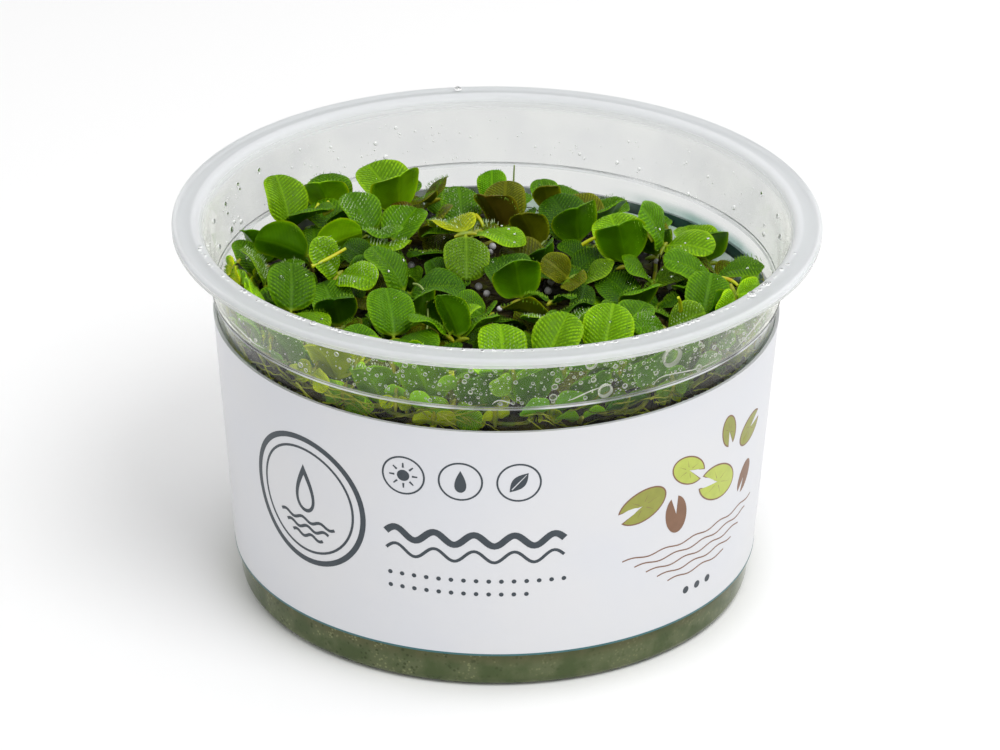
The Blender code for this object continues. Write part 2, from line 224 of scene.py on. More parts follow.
# Adds a node; a value may be another node's output
def addNode(tree, kind, settings=None, inputs=None):
    made = tree.nodes.new(kind)
    for key, value in (settings or {}).items():
        setattr(made, key, value)
    for key, value in (inputs or {}).items():
        if isinstance(value, bpy.types.NodeSocket):
            tree.links.new(value, made.inputs[key])
        else:
            made.inputs[key].default_value = value
    return made


def placeOf(tree):
    return addNode(tree, "ShaderNodeTexCoord").outputs["Object"]


def axesOf(tree, vector):
    parts = addNode(tree, "ShaderNodeSeparateXYZ", inputs={0: vector})
    return parts.outputs["X"], parts.outputs["Y"], parts.outputs["Z"]


def noiseOf(tree, place, scale, detail=3.0, roughness=0.5):
    values = {"Vector": place, "Scale": scale, "Detail": detail, "Roughness": roughness}
    return addNode(tree, "ShaderNodeTexNoise", inputs=values).outputs["Fac"]


# How far a spot is from the nearest of many scattered dots
def dotsOf(tree, place, scale):
    values = {"Vector": place, "Scale": scale}
    return addNode(tree, "ShaderNodeTexVoronoi", inputs=values).outputs["Distance"]


def ramp(tree, value, low, high, toLow=0.0, toHigh=1.0):
    values = {"Value": value, "From Min": low, "From Max": high, "To Min": toLow, "To Max": toHigh}
    settings = {"interpolation_type": "SMOOTHSTEP"}
    return addNode(tree, "ShaderNodeMapRange", settings, values).outputs["Result"]


# A ramp over a span in millimetres
def zone(tree, value, span, toLow=0.0, toHigh=1.0):
    return ramp(tree, value, span[0] * mm, span[1] * mm, toLow, toHigh)


def maths(tree, operation, first, second=0.0):
    return addNode(tree, "ShaderNodeMath", {"operation": operation}, {0: first, 1: second}).outputs[0]


def times(tree, first, second):
    return maths(tree, "MULTIPLY", first, second)


def plus(tree, first, second):
    return maths(tree, "ADD", first, second)


def less(tree, first, second):
    return maths(tree, "SUBTRACT", first, second)


def most(tree, first, second):
    return maths(tree, "MAXIMUM", first, second)


def mixed(tree, share, first, second):
    settings = {"data_type": "RGBA"}
    values = {0: share, 6: first, 7: second}
    return addNode(tree, "ShaderNodeMix", settings, values).outputs[2]


def painted(tree, shader, colour):
    tree.links.new(colour, shader.inputs["Base Color"])


def bumped(tree, shader, height, strength, distanceMm):
    values = {"Strength": strength, "Distance": distanceMm * mm, "Height": height}
    bump = addNode(tree, "ShaderNodeBump", inputs=values)
    tree.links.new(bump.outputs["Normal"], shader.inputs["Normal"])


# A material that clouds mix from two colours; turn says where the clouds go from one to the other
def clouded(name, roughness, scale, colours, turn=None, detail=3.0, **values):
    material, tree, shader = newMaterial(name, roughness, **values)
    place = placeOf(tree)
    clouds = noiseOf(tree, place, scale, detail)
    painted(tree, shader, mixed(tree, ramp(tree, clouds, *turn) if turn else clouds, *colours))
    return material, tree, shader, place, clouds


# The pot: a thin turned cup with a flat rim, a short collar and a tapered body

pot = {
    "height": 60.5, "rimRadius": 50.0, "rimWidth": 3.9, "rimEdge": 0.5, "skirt": 1.5,
    "skirtEdge": 0.15, "underEdge": 0.2, "wall": 0.7, "collarTopRadius": 44.8, "collarTop": 57.6,
    "collarFootRadius": 43.3, "crease": 49.6, "creaseDrop": 0.8, "bodyTopRadius": 42.9,
    "bodyFootRadius": 39.4, "footRound": 1.6, "footRing": 3.5, "floor": 1.3, "segments": 192,
    # Points of the outline, as steps outward and upward from a corner: over the mouth's edge and the
    # rim's crown, under the mouth's edge, over the crease, and from the foot ring into the recess
    "crown": (
        (-0.95, -1.5), (-0.5, -0.62), (-0.2, -0.2), (0.25, -0.03), (0.7, 0.0), (1.1, -0.04),
        (1.4, -0.16), (2.2, -0.2), (2.8, -0.12),
    ),
    "underMouth": ((0.8, 0.0), (0.3, -0.3)),
    "creaseInside": ((-0.28, -0.45), (-0.06, -0.12), (0.02, 0.15)),
    "creaseOutside": ((0.02, 0.05), (0.12, -0.12), (0.10, -0.3)),
    "creaseEnd": ((0.10, 0.25), (0.0, 0.0)),
    "recess": ((0.0, 0.0), (-0.18, 0.1), (-0.42, 0.5), (-0.6, 0.6)),
}
# The plastic's looks. A span runs from where a look begins to where it is full: in height, in
# distance from the axis, or to the right and to the back of it.
plastic = {
    # flat is painted shade on the rim's flat top, and shade is painted shade on the wall low at the right
    # back
    "milkAndHighlight": (0.80, 0.815, 0.83, 1.0), "flat": (0.68, 0.70, 0.71, 1.0),
    "clear": (0.97, 0.985, 0.90, 1.0), "backShadeColour": (0.72, 0.73, 0.73, 1.0),
    "shade": (0.24, 0.36, 0.32, 1.0), "refraction": 1.2, "patchScale": 130.0, "streakScale": 90.0,
    "grainScale": 2600.0, "rim": (57.8, 60.0), "rimMilk": 0.62, "rimRoughness": 0.30,
    "collar": (49.0, 49.7), "collarSides": (22.0, 36.0),
    "collarMilk": (0.02, 0.11),  # in the middle and at the sides
    "mistRoughness": 0.03, "creaseHighlightFoot": (49.22, 49.32), "creaseHighlightHead": (49.65, 49.55),
    "foot": (7.0, 5.0), "footRoughness": 0.10, "leastRoughness": 0.02, "gel": (6.06, 6.02),
    "gelCover": 0.92, "backShadeSpan": (-12.0, 22.0), "wallShadeHead": (48.2, 46.4), "wallShadeFoot": (43.0, 43.7),
    "wallShadeRight": (16.0, 31.0), "wallShadeBack": (10.0, 18.0), "rimShadeInside": (46.8, 47.4),
    "rimShadeOutside": (49.8, 49.1), "rimShadeHeight": (59.5, 60.2),
}


# The growth medium, a wet gel that fills the pot
medium = {
    "top": 43.5, "rise": 0.5, "riseWidth": 1.6,
    "gap": -0.06,  # the gel wets the wall, so it reaches a little into it
    "wave": 0.12,
    "calmWidth": 3.0,  # how far from the wall the waves reach their height
    "wallWidth": 5.0,  # what lies nearer to the wall than this, and below the edge, is dull
    "rings": 44, "segments": 160, "topWithReflection": (0.34, 0.46, 0.37, 1.0),
    "topReflectionLight": (0.50, 0.58, 0.53, 1.0), "topReflectionSpan": (42.8, 43.4),
    "body": (0.076, 0.102, 0.042, 1.0), "light": (0.122, 0.143, 0.071, 1.0),
    "fleck": (0.25, 0.27, 0.13, 1.0), "speck": (0.046, 0.060, 0.026, 1.0),
    "upper": (0.116, 0.117, 0.056, 1.0), "upperSpan": (3.4, 5.2), "cloudScale": 240.0,
    "speckScale": 1250.0, "fleckScale": 1600.0, "rareScale": 420.0,
    "dotSpan": (-12.0, 12.0),  # most specks and flecks show at the left
    "dotShare": (0.8, 0.3),
}


def potInner(height):
    if height > pot["crease"]:
        share = (height - pot["crease"]) / (pot["collarTop"] - pot["crease"])
        spread = pot["collarTopRadius"] - pot["collarFootRadius"]
        return pot["collarFootRadius"] + spread * min(share, 1.0)
    spread = pot["bodyTopRadius"] - pot["bodyFootRadius"]
    return pot["bodyFootRadius"] + spread * height / pot["crease"]


def potOuter(height):
    return potInner(height) + pot["wall"]


# Points of a round stretch of an outline, from one angle to another
def arc(centre, radius, start, end, steps):
    angles = np.radians(np.linspace(start, end, steps + 1))
    return [(centre[0] + radius * math.cos(a), centre[1] + radius * math.sin(a)) for a in angles]


# Points between two outline points, both left out
def between(first, second, steps):
    return [
        (first[0] + (second[0] - first[0]) * i / steps, first[1] + (second[1] - first[1]) * i / steps)
        for i in range(1, steps)
    ]


# A surface turned about the pot's axis from (radius, height) points that start and end on the axis
def turned(outline, segments):
    angles = np.arange(segments) * math.tau / segments
    ring = np.stack((np.cos(angles), np.sin(angles)), axis=1)
    points = [np.column_stack((ring * radius, np.full(segments, z))) for radius, z in outline[1:-1]]
    points.append(np.array([(0.0, 0.0, outline[0][1]), (0.0, 0.0, outline[-1][1])]))
    faces = ringFaces(len(outline) - 2, segments, startPoint=True, endPoint=True)
    points = np.concatenate(points) * mm
    return points, outwardFaces(points, faces)


# Outline points at steps outward and upward from a corner
def stepsFrom(corner, steps):
    return [(corner[0] + outward, corner[1] + upward) for outward, upward in steps]


def potOutline():
    wall, foot, edge, lip = pot["wall"], pot["footRound"], pot["rimEdge"], pot["skirtEdge"]
    top, under, skirt = pot["height"], pot["height"] - wall, pot["height"] - pot["skirt"]
    rim, crease, floor = pot["rimRadius"], pot["crease"], pot["floor"]
    mouth, skirtInside, bend = rim - pot["rimWidth"], rim - wall, pot["underEdge"]
    creaseEnd, footRadius = crease - pot["creaseDrop"], potOuter(0.0) - foot
    innerEnd, outerEnd = (pot["bodyTopRadius"], creaseEnd), (potOuter(creaseEnd), creaseEnd)
    collarFoot, collarHead = pot["collarFootRadius"], (pot["collarTopRadius"], pot["collarTop"])
    outline = [(0.0, floor)] + arc((potInner(floor) - foot, floor + foot), foot, -90, -8, 8)
    outline += between(outline[-1], innerEnd, 10) + [innerEnd]
    outline += stepsFrom((collarFoot, crease), pot["creaseInside"])
    outline += between(outline[-1], collarHead, 6) + [collarHead]
    outline += stepsFrom((mouth, top), pot["crown"])
    outline += arc((rim - edge, top - edge), edge, 100, 0, 6)
    outline += arc((rim - lip, skirt + lip), lip, 0, -90, 2)
    outline += [(skirtInside, skirt), (skirtInside, under - bend), (skirtInside - bend, under)]
    outline += stepsFrom((mouth, under), pot["underMouth"])
    outline.append((collarHead[0] + wall, collarHead[1]))
    outline += between(outline[-1], (collarFoot + wall, crease), 6)
    outline += stepsFrom((collarFoot + wall, crease), pot["creaseOutside"])
    outline += stepsFrom(outerEnd, pot["creaseEnd"])
    outline += between(outerEnd, (footRadius + foot, foot), 10)
    outline += arc((footRadius, foot), foot, -5, -90, 8)
    outline += stepsFrom((footRadius - pot["footRing"], 0.0), pot["recess"])
    return outline + [(0.0, outline[-1][1])]


# The gel's colour: cloudy olive with dark specks and light flecks
def gelColour(tree, place):
    right, _, height = axesOf(tree, place)
    clouds = noiseOf(tree, place, medium["cloudScale"], 5.0)
    rare = ramp(tree, noiseOf(tree, place, medium["rareScale"], 2.0), 0.47, 0.60)
    specks = times(tree, ramp(tree, dotsOf(tree, place, medium["speckScale"]), 0.42, 0.22), rare)
    flecks = ramp(tree, dotsOf(tree, place, medium["fleckScale"]), 0.40, 0.2)
    flecks = times(tree, flecks, ramp(tree, clouds, 0.5, 0.6))
    share = zone(tree, right, medium["dotSpan"], *medium["dotShare"])
    colour = mixed(tree, ramp(tree, clouds, 0.38, 0.62), medium["body"], medium["light"])
    upper = times(tree, zone(tree, height, medium["upperSpan"]), ramp(tree, clouds, 0.3, 0.6, 0.3, 0.9))
    colour = mixed(tree, upper, colour, medium["upper"])
    colour = mixed(tree, times(tree, flecks, share), colour, medium["fleck"])
    return mixed(tree, times(tree, specks, share), colour, medium["speck"])


# Milky on the rim, foggy with fine mist on the collar, whitish along the crease as a painted highlight,
# and clear below it; under the label's edge the gel's colour shows through
def plasticMaterial():
    material, tree, shader = newMaterial("milkyPlastic", 0.1, IOR=plastic["refraction"])
    place = placeOf(tree)
    right, back, height = axesOf(tree, place)
    patches = noiseOf(tree, place, plastic["patchScale"], 2.0)
    grain = noiseOf(tree, place, plastic["grainScale"], 2.0)
    streaks = ramp(tree, noiseOf(tree, place, plastic["streakScale"], 2.0), 0.34, 0.6, 0.3, 0.8)
    rim, collar = zone(tree, height, plastic["rim"]), zone(tree, height, plastic["collar"])
    foot, gel = zone(tree, height, plastic["foot"]), zone(tree, height, plastic["gel"])
    mist = times(tree, collar, ramp(tree, patches, 0.3, 0.7, 0.75, 1.0))
    # Painted highlight: the crease is made whitish and milky, for the bright line its step throws
    crease = zone(tree, height, plastic["creaseHighlightFoot"])
    crease = times(tree, crease, zone(tree, height, plastic["creaseHighlightHead"]))
    aside = maths(tree, "ABSOLUTE", right)
    fog = zone(tree, aside, plastic["collarSides"], *plastic["collarMilk"])
    solid = most(tree, times(tree, rim, plastic["rimMilk"]), times(tree, mist, fog))
    solid = most(tree, solid, times(tree, crease, streaks))
    solid = most(tree, solid, times(tree, gel, plastic["gelCover"]))
    tree.links.new(less(tree, 1.0, solid), shader.inputs["Transmission Weight"])
    rough = times(tree, rim, plastic["rimRoughness"])
    rough = most(tree, rough, times(tree, mist, plastic["mistRoughness"]))
    rough = most(tree, rough, times(tree, foot, plastic["footRoughness"]))
    rough = most(tree, rough, plastic["leastRoughness"])
    tree.links.new(rough, shader.inputs["Roughness"])
    # Painted shade: towards the back the wall's clear tint turns greyer, in patches
    backShadeShare = zone(tree, back, plastic["backShadeSpan"])
    backShadeShare = times(tree, backShadeShare, ramp(tree, patches, 0.2, 0.8, 0.8, 1.0))
    colour = mixed(tree, backShadeShare, plastic["clear"], plastic["backShadeColour"])
    # Painted shade: low at the right back the wall is tinted dark teal in patches, for the dark edge where
    # the wet gel bends the light
    wet = ramp(tree, patches, 0.3, 0.6, 0.6, 1.0)
    for axis, span in ((height, "wallShadeHead"), (height, "wallShadeFoot"), (right, "wallShadeRight"), (back, "wallShadeBack")):
        wet = times(tree, wet, zone(tree, axis, plastic[span]))
    colour = mixed(tree, wet, colour, plastic["shade"])
    # The milk on the rim is the plastic's own; along the crease the same milk is a painted highlight
    colour = mixed(tree, most(tree, rim, crease), colour, plastic["milkAndHighlight"])
    squares = plus(tree, times(tree, right, right), times(tree, back, back))
    radius = maths(tree, "POWER", squares, 0.5)
    # Painted shade: the rim's flat top is given a darker grey
    flat = zone(tree, height, plastic["rimShadeHeight"])
    for span in ("rimShadeInside", "rimShadeOutside"):
        flat = times(tree, flat, zone(tree, radius, plastic[span]))
    colour = mixed(tree, flat, colour, plastic["flat"])
    painted(tree, shader, mixed(tree, gel, colour, gelColour(tree, place)))
    bumped(tree, shader, plus(tree, times(tree, grain, 0.12), patches), 0.06, 0.06)
    return material


def makePot():
    points, faces = turned(potOutline(), pot["segments"])
    piece = addPiece("pot", points, faces, [plasticMaterial()], sharp=38.0)
    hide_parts("pot")
    report("pot made")


# The label: a paper strip round the body, printed with a badge, signs, waves and lily pads

label = {
    "foot": 6.0,
    "top": 45.5,
    "thickness": 0.25,
    "gap": 0.3,
    "backing": 0.28,  # how far the paper's back reaches into the gap, so that no dark line shows
    "endGap": 5.0,
    "segments": 240,
    "rows": 20,
    "scale": 42.0,  # the radius at which a step along the print is as long as on the paper
    "printProud": 0.03,
    "printDepth": 0.05,
    "grid": 1.5,
    "paper": (0.640, 0.650, 0.684, 1.0),
    "warm": (0.672, 0.670, 0.676, 1.0),
    "backGrey": ((0.58, 0.63, 0.60, 1.0), (0.72, 0.76, 0.73, 1.0)),
    "backTealShade": ((0.17, 0.36, 0.33, 1.0), (0.30, 0.52, 0.47, 1.0)),
    "tealShadeSpan": (14.0, 34.0),
    "fibreScale": 2400.0,
    "fibreRelief": (0.08, 0.05),
    "ink": (0.020, 0.030, 0.040, 1.0),
    "teal": (0.022, 0.105, 0.115, 1.0),
    "olive": (0.22, 0.23, 0.03, 1.0),
    "fresh": (0.36, 0.42, 0.06, 1.0),
    "brown": (0.16, 0.075, 0.035, 1.0),
}
# The print, in millimetres along the strip from its middle and up from the pot's foot. A wave is
# given by its start, its length, swing, number of turns and width.
design = {
    "line": {"inset": 0.4, "lift": 0.17, "width": 0.32, "steps": 180},
    "badge": {
        "middle": (-31.0, 27.5),
        "rings": ((11.2, 72, "ink"), (10.3, 72, "paper"), (9.2, 64, "ink"), (8.8, 64, "paper")),
        "drops": ((2.0, 4.2, "ink"), (1.4, 3.0, "paper")),
        "ripples": ((11.0, -3.6, 3.0), (8.6, -4.95, 2.5), (6.2, -6.3, 2.0)),
        "swing": 0.32,
        "width": 0.5,
    },
    "signs": {
        "places": ((-13.5, 36.8), (-5.0, 36.8), (3.5, 36.8)),
        "rings": ((3.3, "ink"), (3.02, "paper")),
        "sun": 0.95,
        "rays": 8,
        "ray": ((1.35, -0.16), (2.15, -0.1), (2.15, 0.1), (1.35, 0.16)),
        "drop": 1.9,
        "leaf": (4.2, 2.0),
        "vein": ((-1.6, -0.09), (1.7, -0.05), (1.7, 0.05), (-1.6, 0.09)),
        "turn": 50.0,
    },
    "waves": ((-16.5, 26.6, 27.0, 0.95, 4.5, 1.1), (-16.5, 23.7, 27.0, 0.95, 4.5, 0.5)),
    "dots": {"start": (-16.0, 19.4), "step": 1.9, "rowStep": 2.3, "rows": (15, 12), "radius": 0.36},
    # Lily pads: middle, width, how flat they lie, how far they are turned, ink
    "pads": (
        (23.0, 29.5, 8.2, 0.62, 200.0, "olive"), (31.5, 33.0, 7.0, 0.60, -30.0, "fresh"),
        (29.5, 26.0, 6.2, 0.60, 100.0, "brown"), (38.5, 28.2, 9.0, 0.62, 160.0, "fresh"),
        (40.5, 36.2, 5.4, 0.60, -75.0, "olive"), (47.5, 33.6, 6.6, 0.62, 20.0, "olive"),
        (47.0, 25.4, 5.0, 0.60, 240.0, "brown"),
    ),
    "padEdge": (0.5, 0.02, 38.0),  # how much wider and flatter the edge is, and its notch
    "padNotch": 46.0,
    "padVeins": 5,
    "padVein": ((0.12, -0.06), (0.40, 0.0), (0.12, 0.06)),
    "pond": (
        (20.0, 20.4, 31.0, 0.22, 5.0, 0.2), (22.2, 18.9, 26.6, 0.22, 4.3, 0.2),
        (24.4, 17.4, 22.2, 0.22, 3.6, 0.2), (26.6, 15.9, 17.8, 0.22, 2.9, 0.2),
        (28.8, 14.4, 13.4, 0.22, 2.2, 0.2),
    ),
    "lastDots": ((33.0, 11.2), (35.6, 11.2), (38.2, 11.2)),
    "lastDot": 0.62,
}


def labelPoint(along, height, outward):
    angle = -math.pi / 2 + along / label["scale"]
    radius = potOuter(height) + label["gap"] + label["thickness"] + outward
    return (radius * math.cos(angle), radius * math.sin(angle), height)


def labelHalfLength():
    halfGap = label["endGap"] / 2 / potOuter(label["top"])
    return (math.pi - halfGap) * label["scale"]


def disc(x, y, radius, steps=48):
    return [
        (x + radius * math.cos(math.tau * i / steps), y + radius * math.sin(math.tau * i / steps))
        for i in range(steps)
    ]


def band(path, width):
    path = np.asarray(path, float)
    step = np.gradient(path, axis=0)
    step /= np.linalg.norm(step, axis=1)[:, None]
    side = np.column_stack((-step[:, 1], step[:, 0])) * width / 2
    return [tuple(p) for p in np.concatenate((path + side, (path - side)[::-1]))]


def wave(x, y, length, swing, turns, width):
    steps = int(turns * 16)
    path = [
        (x + length * i / steps, y + swing * math.sin(math.tau * turns * i / steps))
        for i in range(steps + 1)
    ]
    return band(path, width)


def dropShape(x, y, size, steps=40):
    points = []
    for i in range(steps):
        a = math.tau * i / steps
        aside = 0.62 * math.sin(a) * math.sin(a / 2) ** 1.2
        points.append((x + size * aside, y + size * math.cos(a)))
    return points


def turnedShape(points, x, y, degrees):
    a = math.radians(degrees)
    return [
        (x + px * math.cos(a) - py * math.sin(a), y + px * math.sin(a) + py * math.cos(a))
        for px, py in points
    ]


def pointedOval(length, width, steps=18):
    upper = []
    for i in range(steps + 1):
        share = i / steps
        upper.append((length * (share - 0.5), width / 2 * math.sin(math.pi * share)))
    return upper + [(px, -py) for px, py in upper[-2:0:-1]]


def lilyPad(x, y, width, flat, turn, notch, steps=44):
    points = [(0.0, 0.0)]
    for i in range(steps + 1):
        a = math.radians(notch / 2 + (360.0 - notch) * i / steps)
        points.append((width / 2 * math.cos(a), width / 2 * flat * math.sin(a)))
    return turnedShape(points, x, y, turn)


def badgeMotifs():
    badge = design["badge"]
    x, y = badge["middle"]
    motifs = [(disc(x, y, radius, steps), ink) for radius, steps, ink in badge["rings"]]
    motifs += [(dropShape(x, y + lift, size), ink) for lift, size, ink in badge["drops"]]
    for span, lift, turns in badge["ripples"]:
        ripple = wave(x - span / 2, y + lift, span, badge["swing"], turns, badge["width"])
        motifs.append((ripple, "ink"))
    return motifs


def signMotifs():
    signs = design["signs"]
    motifs = [(disc(*middle, radius), ink) for middle in signs["places"] for radius, ink in signs["rings"]]
    sun, drop, leaf = signs["places"]
    motifs.append((disc(*sun, signs["sun"], 24), "ink"))
    for i in range(signs["rays"]):
        motifs.append((turnedShape(signs["ray"], *sun, 360.0 / signs["rays"] * i), "ink"))
    motifs.append((dropShape(*drop, signs["drop"]), "ink"))
    motifs.append((turnedShape(pointedOval(*signs["leaf"]), *leaf, signs["turn"]), "ink"))
    motifs.append((turnedShape(signs["vein"], *leaf, signs["turn"]), "paper"))
    return motifs


def padMotifs():
    wider, flatter, edgeNotch = design["padEdge"]
    motifs = []
    for x, y, width, flat, turn, ink in design["pads"]:
        motifs.append((lilyPad(x, y, width + wider, flat + flatter, turn, edgeNotch), "brown"))
        motifs.append((lilyPad(x, y, width, flat, turn, design["padNotch"]), ink))
        for i in range(design["padVeins"]):
            # The middle of the vein's width lies along it, so only its length goes with the pad's
            points = [(px * width, py) for px, py in design["padVein"]]
            points = turnedShape(points, 0.0, 0.0, 60.0 * (i + 1))
            points = [(px, py * flat) for px, py in points]
            motifs.append((turnedShape(points, x, y, turn), "brown"))
    return motifs


# The motifs in printing order, each with its ink; paper clears what lies below it
def labelMotifs():
    line, dots = design["line"], design["dots"]
    half, height = labelHalfLength() - line["inset"], label["foot"] + line["lift"]
    low = [(-half + 2.0 * half * i / line["steps"], height) for i in range(line["steps"] + 1)]
    motifs = [(band(low, line["width"]), "teal")] + badgeMotifs() + signMotifs()
    motifs += [(wave(*row), "ink") for row in design["waves"]]
    x, y = dots["start"]
    for row, count in enumerate(dots["rows"]):
        for i in range(count):
            middle = (x + dots["step"] * i, y - dots["rowStep"] * row)
            motifs.append((disc(*middle, dots["radius"], 14), "ink"))
    motifs += padMotifs()
    motifs += [(wave(*row), "brown") for row in design["pond"]]
    motifs += [(disc(*middle, design["lastDot"], 24), "ink") for middle in design["lastDots"]]
    return motifs


# The paper's fine grain, which also shows through the inks
def fibreRelief(tree, shader, place, detail=4.0):
    bumped(tree, shader, noiseOf(tree, place, label["fibreScale"], detail), *label["fibreRelief"])


def paperMaterial():
    colours, turn = (label["paper"], label["warm"]), (0.3, 0.7, 0.0, 0.6)
    values = {"Coat_Weight": 0.25, "Coat_Roughness": 0.2}
    material, tree, shader, place, _ = clouded("labelPaper", 0.42, 60.0, colours, turn, **values)
    fibreRelief(tree, shader, place)
    return material


# The label's back, seen through the wet wall: grey, and towards the right dark teal that is painted shade
def paperBackMaterial():
    material, tree, shader = newMaterial("labelBack", 0.45)
    place = placeOf(tree)
    clouds = noiseOf(tree, place, 110.0, 3.0)
    grey, teal = mixed(tree, clouds, *label["backGrey"]), mixed(tree, clouds, *label["backTealShade"])
    share = zone(tree, axesOf(tree, place)[0], label["tealShadeSpan"])
    share = plus(tree, share, ramp(tree, clouds, 0.4, 0.7, -0.2, 0.2))
    painted(tree, shader, mixed(tree, share, grey, teal))
    fibreRelief(tree, shader, place)
    return material


def inkMaterial(name):
    lighter = tuple(c * 1.35 + 0.01 for c in label[name][:3]) + (1.0,)
    look = clouded("print" + name.capitalize(), 0.4, 700.0, (label[name], lighter), detail=4.0)
    fibreRelief(*look[1:4])
    return look[0]


def makeLabelPaper():
    half = labelHalfLength()
    rows, columns = label["rows"], label["segments"]
    points = []
    for outward in (0.0, -label["thickness"] - label["backing"]):
        for i in range(columns + 1):
            along = -half + 2.0 * half * i / columns
            for j in range(rows + 1):
                height = label["foot"] + (label["top"] - label["foot"]) * j / rows
                points.append(labelPoint(along, height, outward))
    step, back = rows + 1, (columns + 1) * (rows + 1)
    faces, looks = [], []
    for i in range(columns):
        for j in range(rows):
            a = i * step + j
            faces.append((a, a + step, a + step + 1, a + 1))
            faces.append((back + a, back + a + 1, back + a + step + 1, back + a + step))
            looks += [0, 1]
        for a in (i * step, i * step + rows):
            edge = (a, back + a, back + a + step, a + step)
            faces.append(edge if a % step == 0 else edge[::-1])
            looks.append(0)
    for j in range(rows):
        a = j
        faces.append((a, a + 1, back + a + 1, back + a))
        a = columns * step + j
        faces.append((a, back + a, back + a + 1, a + 1))
        looks += [0, 0]
    materials = [paperMaterial(), paperBackMaterial()]
    piece = addPiece("label", np.array(points) * mm, faces, materials, looks, sharp=40.0)
    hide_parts("label")


# The motifs' outlines and a grid of points, so that the print's faces follow the round strip
def printTriangles(motifs):
    points, outlines = [], []
    for outline, _ in motifs:
        outline = list(outline)
        spans = zip(outline, outline[1:] + outline[:1])
        if sum(a[0] * b[1] - b[0] * a[1] for a, b in spans) < 0.0:
            outline = outline[::-1]
        outlines.append(list(range(len(points), len(points) + len(outline))))
        points += [Vector(point) for point in outline]
    left, right = min(p.x for p in points) - 1.0, max(p.x for p in points) + 1.0
    low, high = min(p.y for p in points) - 0.2, max(p.y for p in points) + 1.0
    step = label["grid"]
    for i in range(int((right - left) / step) + 1):
        for j in range(int((high - low) / step) + 1):
            points.append(Vector((left + i * step, low + j * step)))
    flat, _, triangles, _, _, sources = delaunay_2d_cdt(points, [], outlines, 0, 1e-5)
    return flat, triangles, sources


def makeLabelPrint():
    motifs = labelMotifs()
    flat, triangles, sources = printTriangles(motifs)
    inks = ("ink", "teal", "olive", "fresh", "brown")
    kept, kinds = [], []
    for triangle, source in zip(triangles, sources):
        ink = motifs[max(source)][1] if source else "paper"
        if ink != "paper":
            kept.append(tuple(triangle))
            kinds.append(inks.index(ink))
    used, kept = usedOnly(kept)
    front = [labelPoint(flat[i].x, flat[i].y, label["printProud"]) for i in used]
    rear = [labelPoint(flat[i].x, flat[i].y, -label["printDepth"]) for i in used]
    faces, looks = thickSheet(kept, kinds, len(used))
    points = np.array(front + rear) * mm
    materials = [inkMaterial(name) for name in inks]
    addPiece("labelPrint", points, faces, materials, looks, sharp=40.0)
    report(f"label printed with {len(motifs)} motifs")


# The growth medium: wet gel; its top shows pale grey-green where no plants lie on it, partly the gel's
# tone and partly a painted reflection of the white wall

def mediumMaterial(name, roughness, specular, coat):
    values = {"Specular_IOR_Level": specular, "Coat_Weight": coat, "Coat_Roughness": 0.06}
    material, tree, shader = newMaterial(name, roughness, **values)
    place = placeOf(tree)
    clouds = noiseOf(tree, place, medium["cloudScale"], 5.0)
    # The top's pale grey-green is partly the gel's own tone and partly a painted reflection of the white
    # wall
    topWithReflection = mixed(tree, ramp(tree, clouds, 0.35, 0.75), medium["topWithReflection"], medium["topReflectionLight"])
    top = zone(tree, axesOf(tree, place)[2], medium["topReflectionSpan"])
    painted(tree, shader, mixed(tree, top, gelColour(tree, place), topWithReflection))
    bumped(tree, shader, clouds, 0.2, 0.3)
    return material


def mediumWave(x, y):
    long = np.sin(x * 0.42 + 0.6) * np.cos(y * 0.36)
    return medium["wave"] * (long + 0.5 * np.sin(x * 0.9 - y * 0.7))


def makeMedium():
    gap, foot, bend = medium["gap"], pot["floor"] + medium["gap"], pot["footRound"]
    edgeTop = medium["top"] + medium["rise"]
    topRadius = potInner(medium["top"]) - gap
    footRadius = potInner(foot) - bend - gap
    outline = [(0.0, foot)] + arc((footRadius, foot + bend), bend, -90, -8, 6)
    outline += between(outline[-1], (topRadius, edgeTop), 12) + [(topRadius, edgeTop)]
    for i in range(1, medium["rings"]):
        radius = topRadius * (1.0 - i / medium["rings"])
        inward = (topRadius - radius) / medium["riseWidth"]
        outline.append((radius, medium["top"] + medium["rise"] * max(0.0, 1.0 - inward) ** 2))
    outline.append((0.0, medium["top"]))
    points, faces = turned(outline, medium["segments"])
    onTop = points[:, 2] > (medium["top"] - 0.1) * mm
    reach = np.hypot(points[:, 0], points[:, 1]) / mm
    calm = np.clip((topRadius - reach) / medium["calmWidth"], 0.0, 1.0)
    wave = mediumWave(points[:, 0] / mm, points[:, 1] / mm) * calm
    points[:, 2] += np.where(onTop, wave, 0.0) * mm
    # Wet and shining on top; dull where it lies on the wall
    materials = [mediumMaterial("wetGel", 0.16, 0.5, 0.5), mediumMaterial("gelOnWall", 0.5, 0.06, 0.0)]
    edge, inside = (edgeTop - 0.01) * mm, topRadius - medium["wallWidth"]
    looks = [int(min(points[i][2] for i in face) < edge and reach[face[0]] > inside) for face in faces]
    piece = addPiece("growthMedium", points, faces, materials, looks, sharp=60.0)
    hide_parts("growth_medium")
    report("growth medium made")


# The spangles' places: they settle in the pot as the solids do, so that each leaf lies on its own

leafForm = {
    "thickness": 0.6 * mm, "breadth": 0.84, "roundness": 2.3, "fold": 0.28, "arch": 0.06,
    "stations": (0.1, 0.32, 0.66, 0.91), "petiole": 0.09, "petioleWidth": 1.1 * mm, "swing": 12.0,
    "stub": 1.8 * mm,
}
settling = {
    "gap": 0.3 * mm, "runnerWidth": 1.0 * mm, "footDepth": 0.4, "leafClearance": 0.12 * mm,
    "wallClearance": 0.35 * mm, "highestTip": 59.5 * mm, "shiftStep": 4.2, "riseStep": 2.1,
    "turnStep": 70.0, "slopeStep": 21.0, "liftStep": 30.0, "mostLift": 70.0,
    "mostLiftOfBoth": 105.0, "leastSize": 0.7, "mostTries": 900, "leafMargin": 1.0 * mm,
    "runnerMargin": 2.0 * mm,
}
